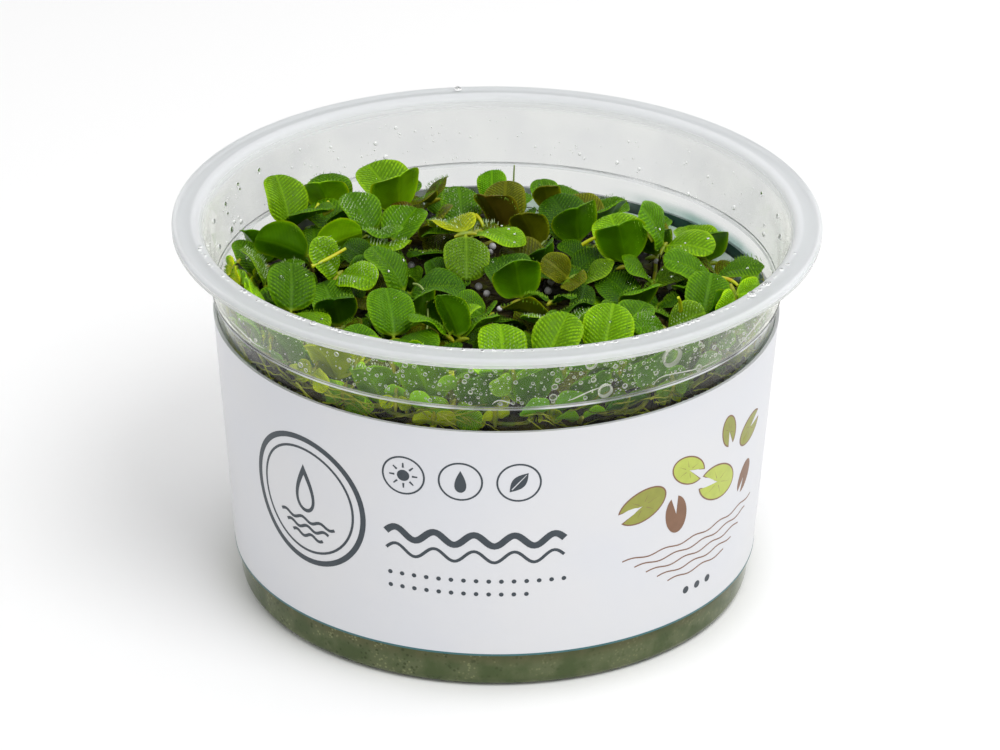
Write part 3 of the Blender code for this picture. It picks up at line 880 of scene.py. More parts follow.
# x, y and height of the middle of a pair's first leaf, the leaf's length, where it points, the
# slope of the stem, and the lift of both leaves
spanglePairs = (
    # Left, at the back
    ((-15.4, 22.6, 53.4, 10.2, 285, 0, 66, 45), (-20.6, 27.4, 51.4, 8.6, 140, 0, 60, 30)),
    ((-34.0, 21.6, 52.4, 9.2, 120, 0, 50, 35),),
    ((-27.5, 25.0, 51.6, 8.8, 258, 0, 70, 45), (-23.4, 19.6, 50.8, 8.6, 288, 0, 66, 40)),
    ((-25.0, 6.6, 52.2, 9.2, 2, 76, 20, 26),),
    ((-35.8, 14.8, 50.8, 9.0, 250, 0, 66, 30),),
    ((-14.6, 17.0, 50.4, 8.4, 60, 0, 22, 20),),
    ((-38.2, 2.8, 50.2, 8.0, 188, 0, 52, 32),),
    # Left, in the middle and at the front
    ((-31.5, -8.3, 51.6, 9.0, 95, 0, 42, 8),),
    ((-16.8, -0.9, 51.2, 9.4, 150, 0, 45, 12),),
    ((-16.2, -15.2, 50.8, 9.0, 105, 0, 40, 8), (-24.4, -13.0, 49.4, 8.2, 282, 0, 62, 50)),
    ((-22.6, -6.4, 51.6, 8.4, 350, -18, 20, 74),),
    ((-16.4, 9.0, 51.2, 8.8, 322, 0, 34, 24),),
    ((-11.6, -9.6, 49.6, 8.2, 290, 0, 68, 34),),
    ((-7.4, -11.4, 48.8, 8.0, 262, 0, 72, 28),),
    ((-12.4, -21.4, 49.4, 7.4, 155, -22, 38, 34),),
    # The middle
    ((3.4, -3.9, 51.2, 9.2, 272, 0, 76, 26),),
    ((-4.6, 3.8, 51.6, 8.8, 276, 0, -30, -14),),
    ((0.6, 8.8, 52.2, 9.4, 334, 0, -6, -12),),
    ((0.8, -22.4, 48.4, 9.0, 96, 0, 30, 8),),
    ((-4.0, -16.6, 48.2, 8.6, 12, 44, 12, 60),),
    ((-6.9, -1.6, 48.0, 7.6, 318, 0, 44, 28),),
    ((-0.4, 22.6, 50.2, 8.6, 238, 0, 62, 50), (-8.6, 17.4, 49.8, 8.6, 298, 0, 64, 36)),
    ((-5.8, 26.2, 49.4, 8.0, 100, 0, 36, 16),),
    # Right, in the middle and at the front
    ((19.6, 5.4, 53.0, 9.8, 264, 0, 74, 40),),
    ((16.8, -20.6, 50.6, 9.4, 80, 0, 48, 8), (9.0, -23.2, 50.6, 9.2, 62, 0, 40, 8)),
    ((32.2, -8.5, 50.8, 8.4, 80, 0, 44, 8),),
    ((11.6, -8.6, 47.8, 8.4, 14, 36, 12, 30),),
    ((22.3, -5.2, 49.0, 8.4, 290, 0, 54, 28),),
    ((6.8, -14.8, 48.6, 7.6, 198, -18, 36, 26),),
    ((29.6, -14.8, 49.6, 7.6, 20, -18, 36, 36),),
    ((17.4, 0.6, 48.4, 8.8, 326, 0, 34, 26),),
    ((9.6, 4.4, 48.6, 8.2, 0, 0, 74, 34),),
    ((20.8, -13.4, 49.2, 7.6, 62, 0, 32, 20),),
    # Right, at the back
    ((12.8, 16.8, 50.8, 9.4, 280, 0, 66, 40), (17.6, 23.4, 49.2, 8.4, 300, 0, 58, 30)),
    ((6.4, 19.6, 49.8, 8.0, 286, 0, 68, 36), (7.2, 24.2, 52.2, 5.6, 272, 0, 72, 40)),
    ((29.2, 8.6, 50.2, 9.2, 344, -10, 14, 62),),
    ((37.2, 0.6, 50.4, 8.8, 342, 0, 26, 30),),
    ((33.4, 13.0, 48.8, 8.4, 276, 0, 58, 22),),
    ((24.6, 14.6, 48.8, 7.8, 262, 0, 56, 22), (27.0, 2.8, 48.8, 8.2, 18, 0, 30, 36)),
    # The front, where leaves stand against the wall
    ((-25.0, -31.6, 50.8, 9.0, 232, 0, 66, 26), (-31.8, -25.6, 50.0, 8.8, 218, 0, 72, 26)),
    ((-10.6, -39.0, 51.0, 9.2, 250, 0, 68, 26), (-18.0, -36.4, 49.4, 8.6, 246, 0, 74, 26)),
    ((6.6, -39.8, 51.0, 9.2, 282, 0, 68, 26), (-2.0, -40.4, 49.6, 8.8, 270, 0, 74, 26)),
    ((22.4, -33.4, 51.0, 9.0, 300, 0, 68, 26), (14.6, -37.6, 49.4, 8.6, 288, 0, 74, 26)),
    ((35.4, -19.8, 50.6, 8.8, 330, 0, 66, 26), (29.6, -27.6, 49.6, 8.8, 316, 0, 72, 26)),
    ((-37.4, -17.6, 50.0, 8.6, 205, 0, 68, 20),),
    # Between and behind the others
    ((-38.4, 10.6, 48.8, 7.8, 175, 0, 56, 20), (-28.6, 14.0, 47.8, 7.6, 100, 0, 30, 30)),
    ((-38.6, -7.4, 48.4, 7.6, 215, 0, 48, 24),),
    ((-21.4, 13.6, 48.6, 7.6, 100, 0, 20, 12),),
    ((-26.6, 31.0, 48.8, 8.2, 120, 0, 50, 16), (-17.0, 34.0, 46.8, 8.2, 70, 0, 20, 14)),
    ((-8.0, 34.0, 46.6, 8.2, 80, 0, 14, 12), (1.6, 32.0, 46.6, 8.0, 60, 0, 16, 12)),
    ((-22.0, -24.0, 48.2, 8.0, 70, 0, 26, 26),),
    ((-4.4, -30.4, 47.8, 8.2, 10, 0, 22, 24),),
    ((31.6, -1.8, 48.2, 7.6, 250, 0, 30, 28),),
    ((3.6, -10.0, 47.4, 7.4, 250, 0, 30, 20),),
    ((24.6, 22.0, 47.6, 7.6, 40, 0, 20, 26), (9.6, 29.6, 48.0, 7.6, 120, 0, 30, 36)),
    ((13.6, 10.2, 48.0, 7.6, 14, 0, 20, 26),),
    ((-11.6, 9.6, 47.8, 7.6, 250, 0, 36, 26),),
)


class Pair:
    def __init__(self, x, y, z, length, azimuth, slope, lift, otherLift):
        turn, pitch = math.radians(azimuth - 90.0 + leafForm["swing"]), math.radians(slope)
        level = math.cos(pitch)
        self.ahead = Vector((math.cos(turn) * level, math.sin(turn) * level, math.sin(pitch)))
        self.left = Vector((-math.sin(turn), math.cos(turn), 0.0))
        self.up = self.ahead.cross(self.left)
        self.node = Vector((0.0, 0.0, 0.0))
        first = Leaf(self, 1.0, lift, length * mm)
        self.node = Vector((x, y, z)) * mm - first.along * first.length / 2
        footHeight = medium["top"] * mm + settling["gap"] + settling["runnerWidth"] * settling["footDepth"]
        self.foot = Vector((self.node.x, self.node.y, footHeight))
        self.leaves = (
            Leaf(self, 1.0, lift, length * mm),
            Leaf(self, -1.0, otherLift, length * mm),
        )


class Leaf:
    def __init__(self, pair, side, lift, length):
        swing, rise = math.radians(leafForm["swing"]), math.radians(lift)
        outward = pair.left * side
        lifted = outward * math.cos(rise) + pair.up * math.sin(rise)
        self.base = pair.node
        self.length = length
        self.along = lifted * math.cos(swing) + pair.ahead * math.sin(swing)
        self.upper = pair.up * math.cos(rise) - outward * math.sin(rise)
        self.across = self.along.cross(self.upper) * side

    def halfWidth(self, u):
        power = leafForm["roundness"]
        blade = max(0.0, (u - leafForm["petiole"]) / (1.0 - leafForm["petiole"]))
        oval = (1.0 - abs(2.0 * blade - 1.0) ** power) ** (1 / power)
        if u < 2.0 * leafForm["petiole"]:
            return leafForm["petioleWidth"] / 2
        return self.length * leafForm["breadth"] / 2 * oval

    def point(self, u, v, off):
        aside = v * self.halfWidth(u)
        fold = leafForm["fold"] * min(1.0, 2.0 * u) * abs(aside)
        arch = leafForm["arch"] * self.length * math.sin(math.pi * u)
        level = self.base + self.along * (u * self.length) + self.across * aside
        return level + self.upper * (fold + arch + off)


def solidShell(rings, startPoint=None, endPoint=None):
    shape = bmesh.new()
    loops = [[shape.verts.new(point) for point in ring] for ring in rings]
    count = len(loops[0])
    for first, second in zip(loops, loops[1:]):
        for i in range(count):
            j = (i + 1) % count
            shape.faces.new((first[i], first[j], second[j], second[i]))
    for loop, tipPoint in ((loops[0][::-1], startPoint), (loops[-1], endPoint)):
        if tipPoint is None:
            shape.faces.new(loop)
            continue
        tip = shape.verts.new(tipPoint)
        for i in range(count):
            shape.faces.new((loop[i], loop[(i + 1) % count], tip))
    return shape


def leafRing(leaf, u, half):
    return [
        leaf.point(u, 1.0, 0.0),
        leaf.point(u, 0.0, half),
        leaf.point(u, -1.0, 0.0),
        leaf.point(u, 0.0, -half),
    ]


def pairShell(pair, extra):
    half = leafForm["thickness"] / 2 + extra
    first, second = pair.leaves
    rings = [leafRing(first, u, half) for u in reversed(leafForm["stations"])]
    rings.append(
        [
            pair.node + pair.ahead * leafForm["stub"],
            pair.node + pair.up * half,
            pair.node - pair.ahead * leafForm["stub"],
            pair.foot,
        ]
    )
    rings += [leafRing(second, u, half) for u in leafForm["stations"]]
    return solidShell(rings, first.point(1.0, 0.0, 0.0), second.point(1.0, 0.0, 0.0))


def runnerShell(pair, following, extra):
    half = settling["runnerWidth"] / 2 + extra
    axis = (following.foot - pair.foot).normalized()
    aside = axis.cross(Vector((0.0, 0.0, 1.0)))
    upward = Vector((0.0, 0.0, settling["runnerWidth"] + extra))
    low = Vector((0.0, 0.0, settling["gap"] + medium["top"] * mm - pair.foot.z))
    rings = []
    for middle in (pair.foot - axis * half, following.foot + axis * half):
        left, right = middle + low - aside * half, middle + low + aside * half
        rings.append([left, right, right + upward, left + upward])
    return solidShell(rings)


def touchTree(shell):
    tree = BVHTree.FromBMesh(shell)
    points = [vert.co.copy() for vert in shell.verts]
    shell.free()
    return tree, points


def fitsPot(points):
    lowest = medium["top"] * mm + settling["gap"]
    for point in points:
        if not lowest * 0.9999 < point.z < settling["highestTip"]:
            return False
        nearMedium = point.z < lowest + medium["rise"] * mm
        margin = medium["riseWidth"] * mm if nearMedium else settling["wallClearance"]
        if math.hypot(point.x, point.y) > potInner(point.z / mm) * mm - margin:
            return False
    return True


def touches(tree, others):
    return any(tree.overlap(other) for other in others)


def nudged(row, attempt, chance):
    x, y, z, length, azimuth, slope, lift, otherLift = row
    reach = attempt / settling["mostTries"]
    spread = [chance.uniform(-1.0, 1.0) * reach for _ in range(8)]
    lift = min(lift + settling["liftStep"] * spread[6], settling["mostLift"])
    otherLift = min(otherLift + settling["liftStep"] * spread[7], settling["mostLiftOfBoth"] - lift)
    return Pair(
        x + settling["shiftStep"] * spread[0],
        y + settling["shiftStep"] * spread[1],
        z + settling["riseStep"] * spread[2],
        length * (1.0 - (1.0 - settling["leastSize"]) * abs(spread[3])),
        azimuth + settling["turnStep"] * spread[4],
        slope + settling["slopeStep"] * spread[5],
        lift,
        otherLift,
    )


def settlePair(row, before, trees, chance):
    for attempt in range(settling["mostTries"]):
        pair = nudged(row, attempt, chance)
        tree, points = touchTree(pairShell(pair, settling["leafClearance"]))
        if not fitsPot(points) or touches(tree, trees):
            continue
        if before is None:
            return pair, [tree]
        stem, _ = touchTree(runnerShell(before, pair, settling["leafClearance"]))
        if not touches(stem, trees[:-1]):
            return pair, [tree, stem]
    raise RuntimeError(f"no room for the pair at {row[:3]}")


# The settled pairs of each spangle, and each shape that was placed, with its middle and size
def settleSpangles():
    settled, trees, placed = [], [], []
    for number, rows in enumerate(spanglePairs, 1):
        chance = random.Random(number)
        pairs = []
        for row in rows:
            before = pairs[-1] if pairs else None
            pair, more = settlePair(row, before, trees, chance)
            pairs.append(pair)
            trees += more
            placed.append((more[0], pair.node, pair.leaves[0].length + settling["leafMargin"]))
            if before is not None:
                middle, span = (pair.foot + before.foot) / 2, (pair.foot - before.foot).length
                placed.append((more[1], middle, span / 2 + settling["runnerMargin"]))
        settled.append(pairs)
    return settled, placed


# Small pairs that fill the gaps between the settled ones: how many, where and in which tones.
# Those along the wall spread their leaves flat against it.
alongWall = {"reach": (38.5, 41.9), "length": (3.4, 7.0), "lift": (-6.0, 14.0), "wall": True}
fillers = {
    "left": {
        **alongWall, "count": 34, "seed": 31, "angles": (172.0, 240.0), "height": (45.6, 52.5),
        "tries": 12000, "tones": ("mid", "bright", "bright", "pale", "bright", "yellow"),
    },
    "right": {
        **alongWall, "count": 30, "seed": 32, "angles": (300.0, 366.0), "height": (45.6, 52.5),
        "tries": 9000, "tones": ("mid", "bright", "mid", "pale", "deep"),
    },
    "front": {
        **alongWall, "count": 34, "seed": 22, "angles": (230.0, 310.0), "height": (45.6, 54.5),
        "tries": 12000, "tones": ("mid", "bright", "bright", "pale", "bright"),
    },
    "old": {
        "count": 90, "seed": 23, "reach": (38.0, 41.9), "angles": (176.0, 364.0), "height": (45.0, 48.8),
        "length": (2.2, 4.6), "lift": (-12.0, 22.0), "tries": 20000, "wall": True,
        "tones": ("yellow", "olive", "brown", "yellow", "mid", "yellow"),
    },
    "between": {
        "count": 70, "seed": 21, "reach": (0.0, 36.0), "angles": (0.0, 360.0), "height": (45.2, 50.5),
        "length": (4.4, 7.2), "lift": (-5.0, 62.0), "tries": 9000, "wall": False,
        "tones": ("mid", "olive", "bright", "deep", "mid", "deep"),
    },
}
filling = {
    "leastCover": 4.0,  # how far a small pair stays from the bare medium
    "leastStem": 0.4 * mm, "farthestNode": 42.0 * mm,
    "thinner": 0.12 * mm,  # how much thinner than a solid's its leaves are
    "slopes": (-25.0, 35.0), "wallTurn": 78.0, "wallSpread": 28.0, "wallSlopes": (45.0, 88.0),
}
# The dark hollow among the plants: its middle, and its half widths across and back
hollow = {"x": 1.0, "y": 9.0, "across": 15.0, "back": 15.0}


def inHollow(x, y):
    across, back = (x - hollow["x"]) / hollow["across"], (y - hollow["y"]) / hollow["back"]
    return math.hypot(across, back) < 1.0


def fillerRow(spot, chance):
    low, high = spot["reach"]
    reach = math.sqrt(chance.uniform(low * low, high * high))
    angle = math.radians(chance.uniform(*spot["angles"]))
    azimuth, slope = chance.uniform(0.0, 360.0), chance.uniform(*filling["slopes"])
    if spot["wall"]:
        spread = filling["wallSpread"]
        azimuth = math.degrees(angle) + filling["wallTurn"] + chance.uniform(-spread, spread)
        slope = chance.choice((-1.0, 1.0)) * chance.uniform(*filling["wallSlopes"])
    height, length = chance.uniform(*spot["height"]), chance.uniform(*spot["length"])
    lift, otherLift = chance.uniform(*spot["lift"]), chance.uniform(*spot["lift"])
    x, y = reach * math.cos(angle), reach * math.sin(angle)
    return x, y, height, length, azimuth, slope, lift, otherLift


def settleFillers(placed):
    settled = []
    for spot in fillers.values():
        chance = random.Random(spot["seed"])
        count = 0
        for _ in range(spot["tries"]):
            if count == spot["count"]:
                break
            row = fillerRow(spot, chance)
            tone = chance.choice(spot["tones"])
            if coverOf(*row[:2]) < filling["leastCover"] or inHollow(*row[:2]):
                continue
            pair = Pair(*row)
            node, foot = pair.node, pair.foot
            tooLow = node.z < foot.z + filling["leastStem"]
            if tooLow or math.hypot(node.x, node.y) > filling["farthestNode"]:
                continue
            tree, points = touchTree(pairShell(pair, -filling["thinner"]))
            if not fitsPot(points):
                continue
            own = row[3] * mm + settling["leafMargin"]
            near = [t for t, centre, size in placed if (centre - node).length < size + own]
            if touches(tree, near):
                continue
            placed.append((tree, node, own))
            settled.append((pair, tone))
            count += 1
        report(f"{count} small pairs settled")
    return settled


# How far the settled leaves are from the solids' boxes, as a check that both agree
def compareWithSolids(settled):
    worst = 0.0
    for number, pairs in enumerate(settled, 1):
        low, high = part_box(f"spangle_{number:02d}")
        for tip in [leaf.point(1.0, 0.0, 0.0) for pair in pairs for leaf in pair.leaves]:
            for axis in range(3):
                worst = max(worst, low[axis] - tip[axis], tip[axis] - high[axis])
    report(f"spangles settled, at most {worst / mm:.3f} mm outside their solids")


# The leaves: a fine blade on each settled leaf, ribbed above and smooth below

blade = {
    "rows": {"hero": 62, "plain": 28, "small": 15},
    "columns": {"hero": 6, "plain": 5, "small": 4},
    "stalkRows": (0.0, 0.05, 0.085),
    "rowCrowding": 0.4,  # the share of the rows' spacing that crowds them at both ends
    "columnCrowding": 0.85,  # below 1 crowds the columns at the margins
    "bladeStart": 0.06, "ribs": (12.5, 17.5),
    "slant": 0.62,  # how far a rib runs towards the tip, over how far it runs aside
    "ribHeight": 0.11, "ribPower": 1.2, "smoothMidrib": 0.35, "smoothTip": 0.05,
    "halfThickness": 0.17, "petioleHalf": 0.28, "petioleThickness": 0.26,
    "bulge": {"hero": 0.15, "plain": 0.12, "small": 0.10},
    "scallop": 0.012, "soft": 1.1,
    "tipFade": (0.72, 0.8),  # where the fold begins to fade, and how much of it does
    # How leaves differ: swelling of the outline, curl of the margins, droop of the tip, ripples of
    # the margins, twist
    "swell": (0.0, 0.045), "swellWaves": 5.5, "curl": (-0.12, 0.2), "droop": (-0.7, 0.4),
    "ripple": (0.08, 0.30), "rippleWaves": 9.0, "twist": (-0.14, 0.14),
}
leafTones = {
    "bright": (0.155, 0.350, 0.002),
    "mid": (0.076, 0.215, 0.001),
    "deep": (0.036, 0.120, 0.001),
    "yellow": (0.300, 0.380, 0.002),
    "olive": (0.105, 0.125, 0.002),
    "brown": (0.105, 0.085, 0.006),
    "pale": (0.130, 0.275, 0.008),
}
# The tones of each spangle's leaves, first pair and second pair; the others are mid
spangleTones = {
    1: ("bright", "bright", "bright"), 2: ("bright",), 3: ("bright",), 4: ("bright",),
    5: ("mid", "deep"), 6: ("mid", "bright"), 7: ("pale",), 8: ("mid", "bright"), 9: ("mid", "deep"),
    10: ("mid", "mid", "deep"), 11: ("bright", "bright"), 13: ("mid", "deep"), 14: ("deep",),
    15: ("mid", "bright"), 16: ("mid", "deep"), 17: ("pale", "yellow"), 18: ("bright",),
    19: ("bright", "bright"), 21: ("deep", "deep"), 22: ("brown", "olive", "olive", "brown"),
    23: ("mid", "olive"), 24: ("mid", "bright"), 25: ("bright", "bright", "bright"),
    27: ("deep", "olive"), 28: ("mid", "deep"), 29: ("pale",), 30: ("pale",), 31: ("pale",),
    32: ("deep", "olive"), 33: ("mid", "deep"), 34: ("mid", "deep", "mid", "olive"),
    35: ("olive", "mid", "olive"), 36: ("bright",), 38: ("mid", "bright"),
    39: ("mid", "olive", "pale"), 40: ("yellow", "yellow", "mid", "olive"),
    41: ("bright", "yellow", "bright", "olive"), 42: ("mid", "bright", "mid", "bright"),
    43: ("mid", "mid", "mid", "olive"), 44: ("mid", "deep"), 54: ("deep", "olive"),
    56: ("deep", "deep"), 57: ("deep", "olive"),
}
# The spangles whose leaves show best, with ribs in their shape
heroes = (2, 7, 8, 9, 10, 11, 12, 15, 17, 19, 20, 25, 26, 29, 30, 37, 40, 41, 42, 43, 44)


# Fine upright hairs on the ribs of the upper sides; step is the way aside from hair to hair over
# the leaf's length
hairs = {
    "height": 0.42, "radius": 0.065, "step": 0.062, "perRib": 6, "firstRib": 2, "jitter": 0.01,
    "farthest": 0.97, "lean": 0.35, "stray": 0.25,
    "thin": 0.35,  # the share left out on the plainer leaves
    "root": (0.13, 0.30, 0.004, 1.0), "green": (0.22, 0.42, 0.02, 1.0),
    "pale": (0.66, 0.78, 0.52, 1.0),
    "fuzzy": (6, 7, 11, 12, 17, 19, 23, 29, 30, 40, 41),
    "fuzzyWidth": 1.6,
}


# Ribs as a share of their height, from 0 in a groove to 1 on a crest
def ribCrest(u, aside, ribs):
    return 0.5 + 0.5 * np.cos(math.tau * ribs * (u - blade["slant"] * aside))


# How many ribs a leaf has: it differs from leaf to leaf
def ribsOf(leaf):
    low, high = blade["ribs"]
    return low + (high - low) * ((leaf.base.x * 7919.0 + leaf.base.y * 6133.0) % 1.0)


def bladeHalfWidth(u, length, ribs):
    power = leafForm["roundness"]
    share = np.clip((u - leafForm["petiole"]) / (1.0 - leafForm["petiole"]), 0.0, 1.0)
    oval = (1.0 - np.abs(2.0 * share - 1.0) ** power) ** (1 / power)
    width = length * leafForm["breadth"] / 2 * oval
    if ribs:
        width *= 1.0 + blade["scallop"] * np.cos(math.tau * ribs * (u - 0.25))
    return np.maximum(width, np.where(u < 0.2, blade["petioleHalf"] * mm, 0.0))


# How far the blade rises from its midrib towards a margin: softly at the midrib, less at the tip
def bladeFold(u, aside):
    soft = blade["soft"] * mm
    start, share = blade["tipFade"]
    tipward = np.clip((u - start) / (1.0 - start), 0.0, 1.0)
    fade = 1.0 - share * tipward ** 2 * (3.0 - 2.0 * tipward)
    return leafForm["fold"] * np.minimum(1.0, 2.0 * u) * fade * (np.sqrt(aside ** 2 + soft ** 2) - soft)


# One leaf as rings of points round its section, from the stalk to the tip. Both grids run along the
# leaf and round the section; upperSide is 1 above, -1 below and 0 at the margins.
def leafShape(leaf, grade, chance):
    rows, columns, crowd = blade["rows"][grade], blade["columns"][grade], blade["rowCrowding"]
    start, length, ribs = leafForm["petiole"], leaf.length, ribsOf(leaf)
    t = np.linspace(0.0, 1.0, rows)[1:-1]
    t = (1.0 - crowd) * t + crowd * (1.0 - np.cos(math.pi * t)) / 2
    u = np.concatenate((blade["stalkRows"], start + (1.0 - start) * t))
    across = np.linspace(-1.0, 1.0, 2 * columns + 1)
    across = np.sign(across) * np.abs(across) ** blade["columnCrowding"]
    v = np.concatenate((across, across[-2:0:-1]))
    upperSide = np.concatenate((np.ones(2 * columns + 1), -np.ones(2 * columns - 1)))
    upperSide[[0, 2 * columns]] = 0.0
    uu, vv = np.meshgrid(u, v, indexing="ij")
    width = bladeHalfWidth(u, length, ribs if grade == "hero" else 0.0)[:, None]
    swell, turn = chance.uniform(*blade["swell"]), chance.uniform(0.0, math.tau)
    width = width * (1.0 + swell * np.sin(blade["swellWaves"] * uu + turn + 1.3 * np.sign(vv)))
    aside = np.abs(vv) * width
    isBlade = np.clip((uu - start) / blade["bladeStart"], 0.0, 1.0)
    curl, droop = chance.uniform(*blade["curl"]), chance.uniform(*blade["droop"]) * mm
    ripple, twist = chance.uniform(*blade["ripple"]) * mm, chance.uniform(*blade["twist"])
    phase = chance.uniform(0.0, math.tau)
    arch = leafForm["arch"] * length * np.sin(math.pi * uu)
    bulge = blade["bulge"][grade] * np.sin(math.pi * np.abs(vv)) * width * isBlade
    ripples = ripple * np.sin(blade["rippleWaves"] * uu + phase * np.sign(vv)) * vv ** 2 * isBlade
    margin = curl * vv ** 2 * width + ripples + twist * vv * width * uu
    stalkMore = (blade["petioleThickness"] - blade["halfThickness"]) * (1.0 - isBlade)
    half = (blade["halfThickness"] + stalkMore) * mm * np.sqrt(np.clip(1.0 - vv ** 2, 0.0, 1.0))
    off = bladeFold(uu, aside) + arch + bulge + margin + droop * uu ** 3 + upperSide * half
    if grade == "hero":
        shown = 1.0 - np.exp(-((aside / (blade["smoothMidrib"] * mm)) ** 2))
        shown = shown * (1.0 - vv ** 8) * isBlade * np.clip((1.0 - uu) / blade["smoothTip"], 0.0, 1.0)
        crest = ribCrest(uu, aside / length, ribs) ** blade["ribPower"]
        off = off + (upperSide > 0) * blade["ribHeight"] * mm * crest * shown
    base, along = np.array(leaf.base), np.array(leaf.along)
    acrossAxis, upper = np.array(leaf.across), np.array(leaf.upper)
    points = base + (uu * length)[..., None] * along
    points = points + (vv * width)[..., None] * acrossAxis + off[..., None] * upper
    tip = base + along * length + upper * droop
    points = np.concatenate((points.reshape(-1, 3), tip[None, :]))
    faces = ringFaces(len(u), len(v), endPoint=True)
    under = np.array([j >= 2 * columns for j in range(len(v))]).astype(int)
    materials = list(np.tile(under, len(u) - 1)) + [1] + list(under)
    spans = np.column_stack((uu.ravel(), (aside / length).ravel(), np.abs(vv).ravel()))
    return points, faces, materials, np.concatenate((spans, [(1.0, 0.0, 1.0)]))


# Looks of the blades; a share says how far a part goes to the lighter or darker tone
leafLook = {
    "roughness": {"upper": 0.45, "under": 0.36},
    "relief": {"upper": 0.7, "under": 0.25}, "knobs": {"upper": 1.0, "under": 0.1},
    "specular": 0.12, "glow": 0.3, "glowRadius": (0.8, 1.0, 0.1), "glowDepth": 0.7,
    "lighter": {"Hue": 0.485, "Value": 1.75},
    "darker": {"Value": 0.5, "Saturation": 1.1},
    "mottleScale": 420.0, "fineScale": 3800.0, "warpScale": 260.0, "warp": 0.075,
    "brokenScale": 1100.0, "grooveShade": 0.6, "ribsUnder": 0.08, "midrib": 0.3, "margin": 0.55,
    "stalk": 0.7, "stalkTone": (0.30, 0.36, 0.015, 1.0),
    "stem": ((0.16, 0.26, 0.006, 1.0), (0.36, 0.36, 0.008, 1.0)),
}


def toned(tree, tone, change):
    return addNode(tree, "ShaderNodeHueSaturation", inputs={"Color": tone, **leafLook[change]}).outputs[0]


# Blade colour: lighter on the rib crests as painted glints and darker in the grooves as painted shade;
# lighter on the midrib and the margin, from the leaf's own span
def leafMaterial(name, side):
    look = leafLook
    values = {"Subsurface_Weight": look["glow"], "Subsurface_Radius": look["glowRadius"]}
    values.update(Subsurface_Scale=look["glowDepth"] * mm, Specular_IOR_Level=look["specular"])
    material, tree, shader = newMaterial(name, look["roughness"][side], **values)
    toneNode = addNode(tree, "ShaderNodeAttribute", {"attribute_name": "tone"})
    tone, ribShare = toneNode.outputs["Color"], toneNode.outputs["Alpha"]
    span = addNode(tree, "ShaderNodeAttribute", {"attribute_name": "span"})
    u, aside, edge = axesOf(tree, span.outputs["Vector"])
    place = placeOf(tree)
    mottle = noiseOf(tree, place, look["mottleScale"])
    warp = less(tree, noiseOf(tree, place, look["warpScale"], 2.0), 0.5)
    warp = times(tree, warp, look["warp"])
    aside, u = plus(tree, aside, warp), plus(tree, u, times(tree, warp, 0.6))
    ribs = times(tree, ribShare, math.tau * blade["ribs"][1])
    crest = less(tree, u, times(tree, aside, blade["slant"]))
    crest = ramp(tree, maths(tree, "COSINE", times(tree, crest, ribs)), -1.0, 1.0)
    broken = ramp(tree, noiseOf(tree, place, look["brokenScale"], 2.0), 0.36, 0.56, 0.25, 1.0)
    crest = times(tree, crest, broken)
    beads = maths(tree, "COSINE", times(tree, aside, math.tau / hairs["step"]))
    inBlade = ramp(tree, u, 0.08, 0.16)
    ribbed = times(tree, times(tree, crest, ramp(tree, aside, 0.01, 0.05)), inBlade)
    knobs = times(tree, ribbed, ramp(tree, beads, -1.8, 0.6))
    light, dark = toned(tree, tone, "lighter"), toned(tree, tone, "darker")
    base = mixed(tree, ramp(tree, mottle, 0.3, 0.7, 0.55, 1.0), dark, tone)
    if side == "upper":
        # Painted shade: the grooves between the ribs are darker
        grooveShade = times(tree, less(tree, 1.0, crest), times(tree, inBlade, look["grooveShade"]))
        base = mixed(tree, grooveShade, base, dark)
        # Painted glints: the knobs on the rib crests are lighter, most towards the margins
        outer = ramp(tree, edge, 0.25, 0.95, 0.3, 0.9)
        base = mixed(tree, times(tree, knobs, outer), base, light)
    else:
        base = mixed(tree, times(tree, ribbed, look["ribsUnder"]), base, light)
    midrib = times(tree, ramp(tree, aside, 0.03, 0.008), look["midrib"])
    base = mixed(tree, midrib, base, light)
    margin = times(tree, ramp(tree, edge, 0.8, 1.0), look["margin"])
    base = mixed(tree, margin, base, light)
    stalk = times(tree, ramp(tree, u, 0.16, 0.06), look["stalk"])
    painted(tree, shader, mixed(tree, stalk, base, look["stalkTone"]))
    fine = times(tree, noiseOf(tree, place, look["fineScale"], 2.0), 0.3)
    relief = plus(tree, fine, times(tree, knobs, look["knobs"][side]))
    bumped(tree, shader, relief, look["relief"][side], 0.14)
    return material


def stemMaterial():
    look = clouded("stemGreen", 0.4, 500.0, leafLook["stem"], (0.35, 0.65))
    material, tree, shader, _, streaks = look
    bumped(tree, shader, streaks, 0.3, 0.1)
    return material


# Leaves and stems of one piece, with each point's tone and its place on its leaf
class Plants(Heap):
    def __init__(self):
        super().__init__()
        self.tones = []
        self.spans = []

    # A leaf's tone holds its colour, and how many ribs it has over the most that one has
    def addLeaf(self, leaf, grade, tone, shade, chance):
        points, faces, kinds, spans = leafShape(leaf, grade, chance)
        self.add(points, faces, kinds)
        tone = (*[c * shade for c in leafTones[tone]], ribsOf(leaf) / blade["ribs"][1])
        self.tones.append(np.tile(tone, (len(points), 1)))
        self.spans.append(spans)

    def addStem(self, points, faces):
        self.add(points, faces, 2)
        self.tones.append(np.ones((len(points), 4)))
        self.spans.append(np.zeros((len(points), 3)))

    def plantPiece(self, name, materials):
        made = self.piece(name, materials, "leaf", sharp=70.0)
        tones = ("tone", "FLOAT_COLOR", "color", self.tones)
        spans = ("span", "FLOAT_VECTOR", "vector", self.spans)
        for layerName, kind, field, values in (tones, spans):
            layer = made.data.attributes.new(layerName, kind, "POINT")
            layer.data.foreach_set(field, np.concatenate(values).astype(np.float32).ravel())
        return made


# How light leaves are, at random; small ones at the wall are painted lighter, most of all at the left,
# as painted light for what reaches them through the wall
shadesAndWallLight = {
    "large": (0.82, 1.18), "small": (0.75, 1.2), "litWallFrom": 36.0, "litRightFrom": 10.0, "left": 2.0,
    "right": 1.5,
}
stems = {"radius": 0.18, "swell": 0.26, "power": 2.2, "droop": 0.35, "steps": 7}
runners = {"radius": 0.36, "height": 0.9, "steps": 12}


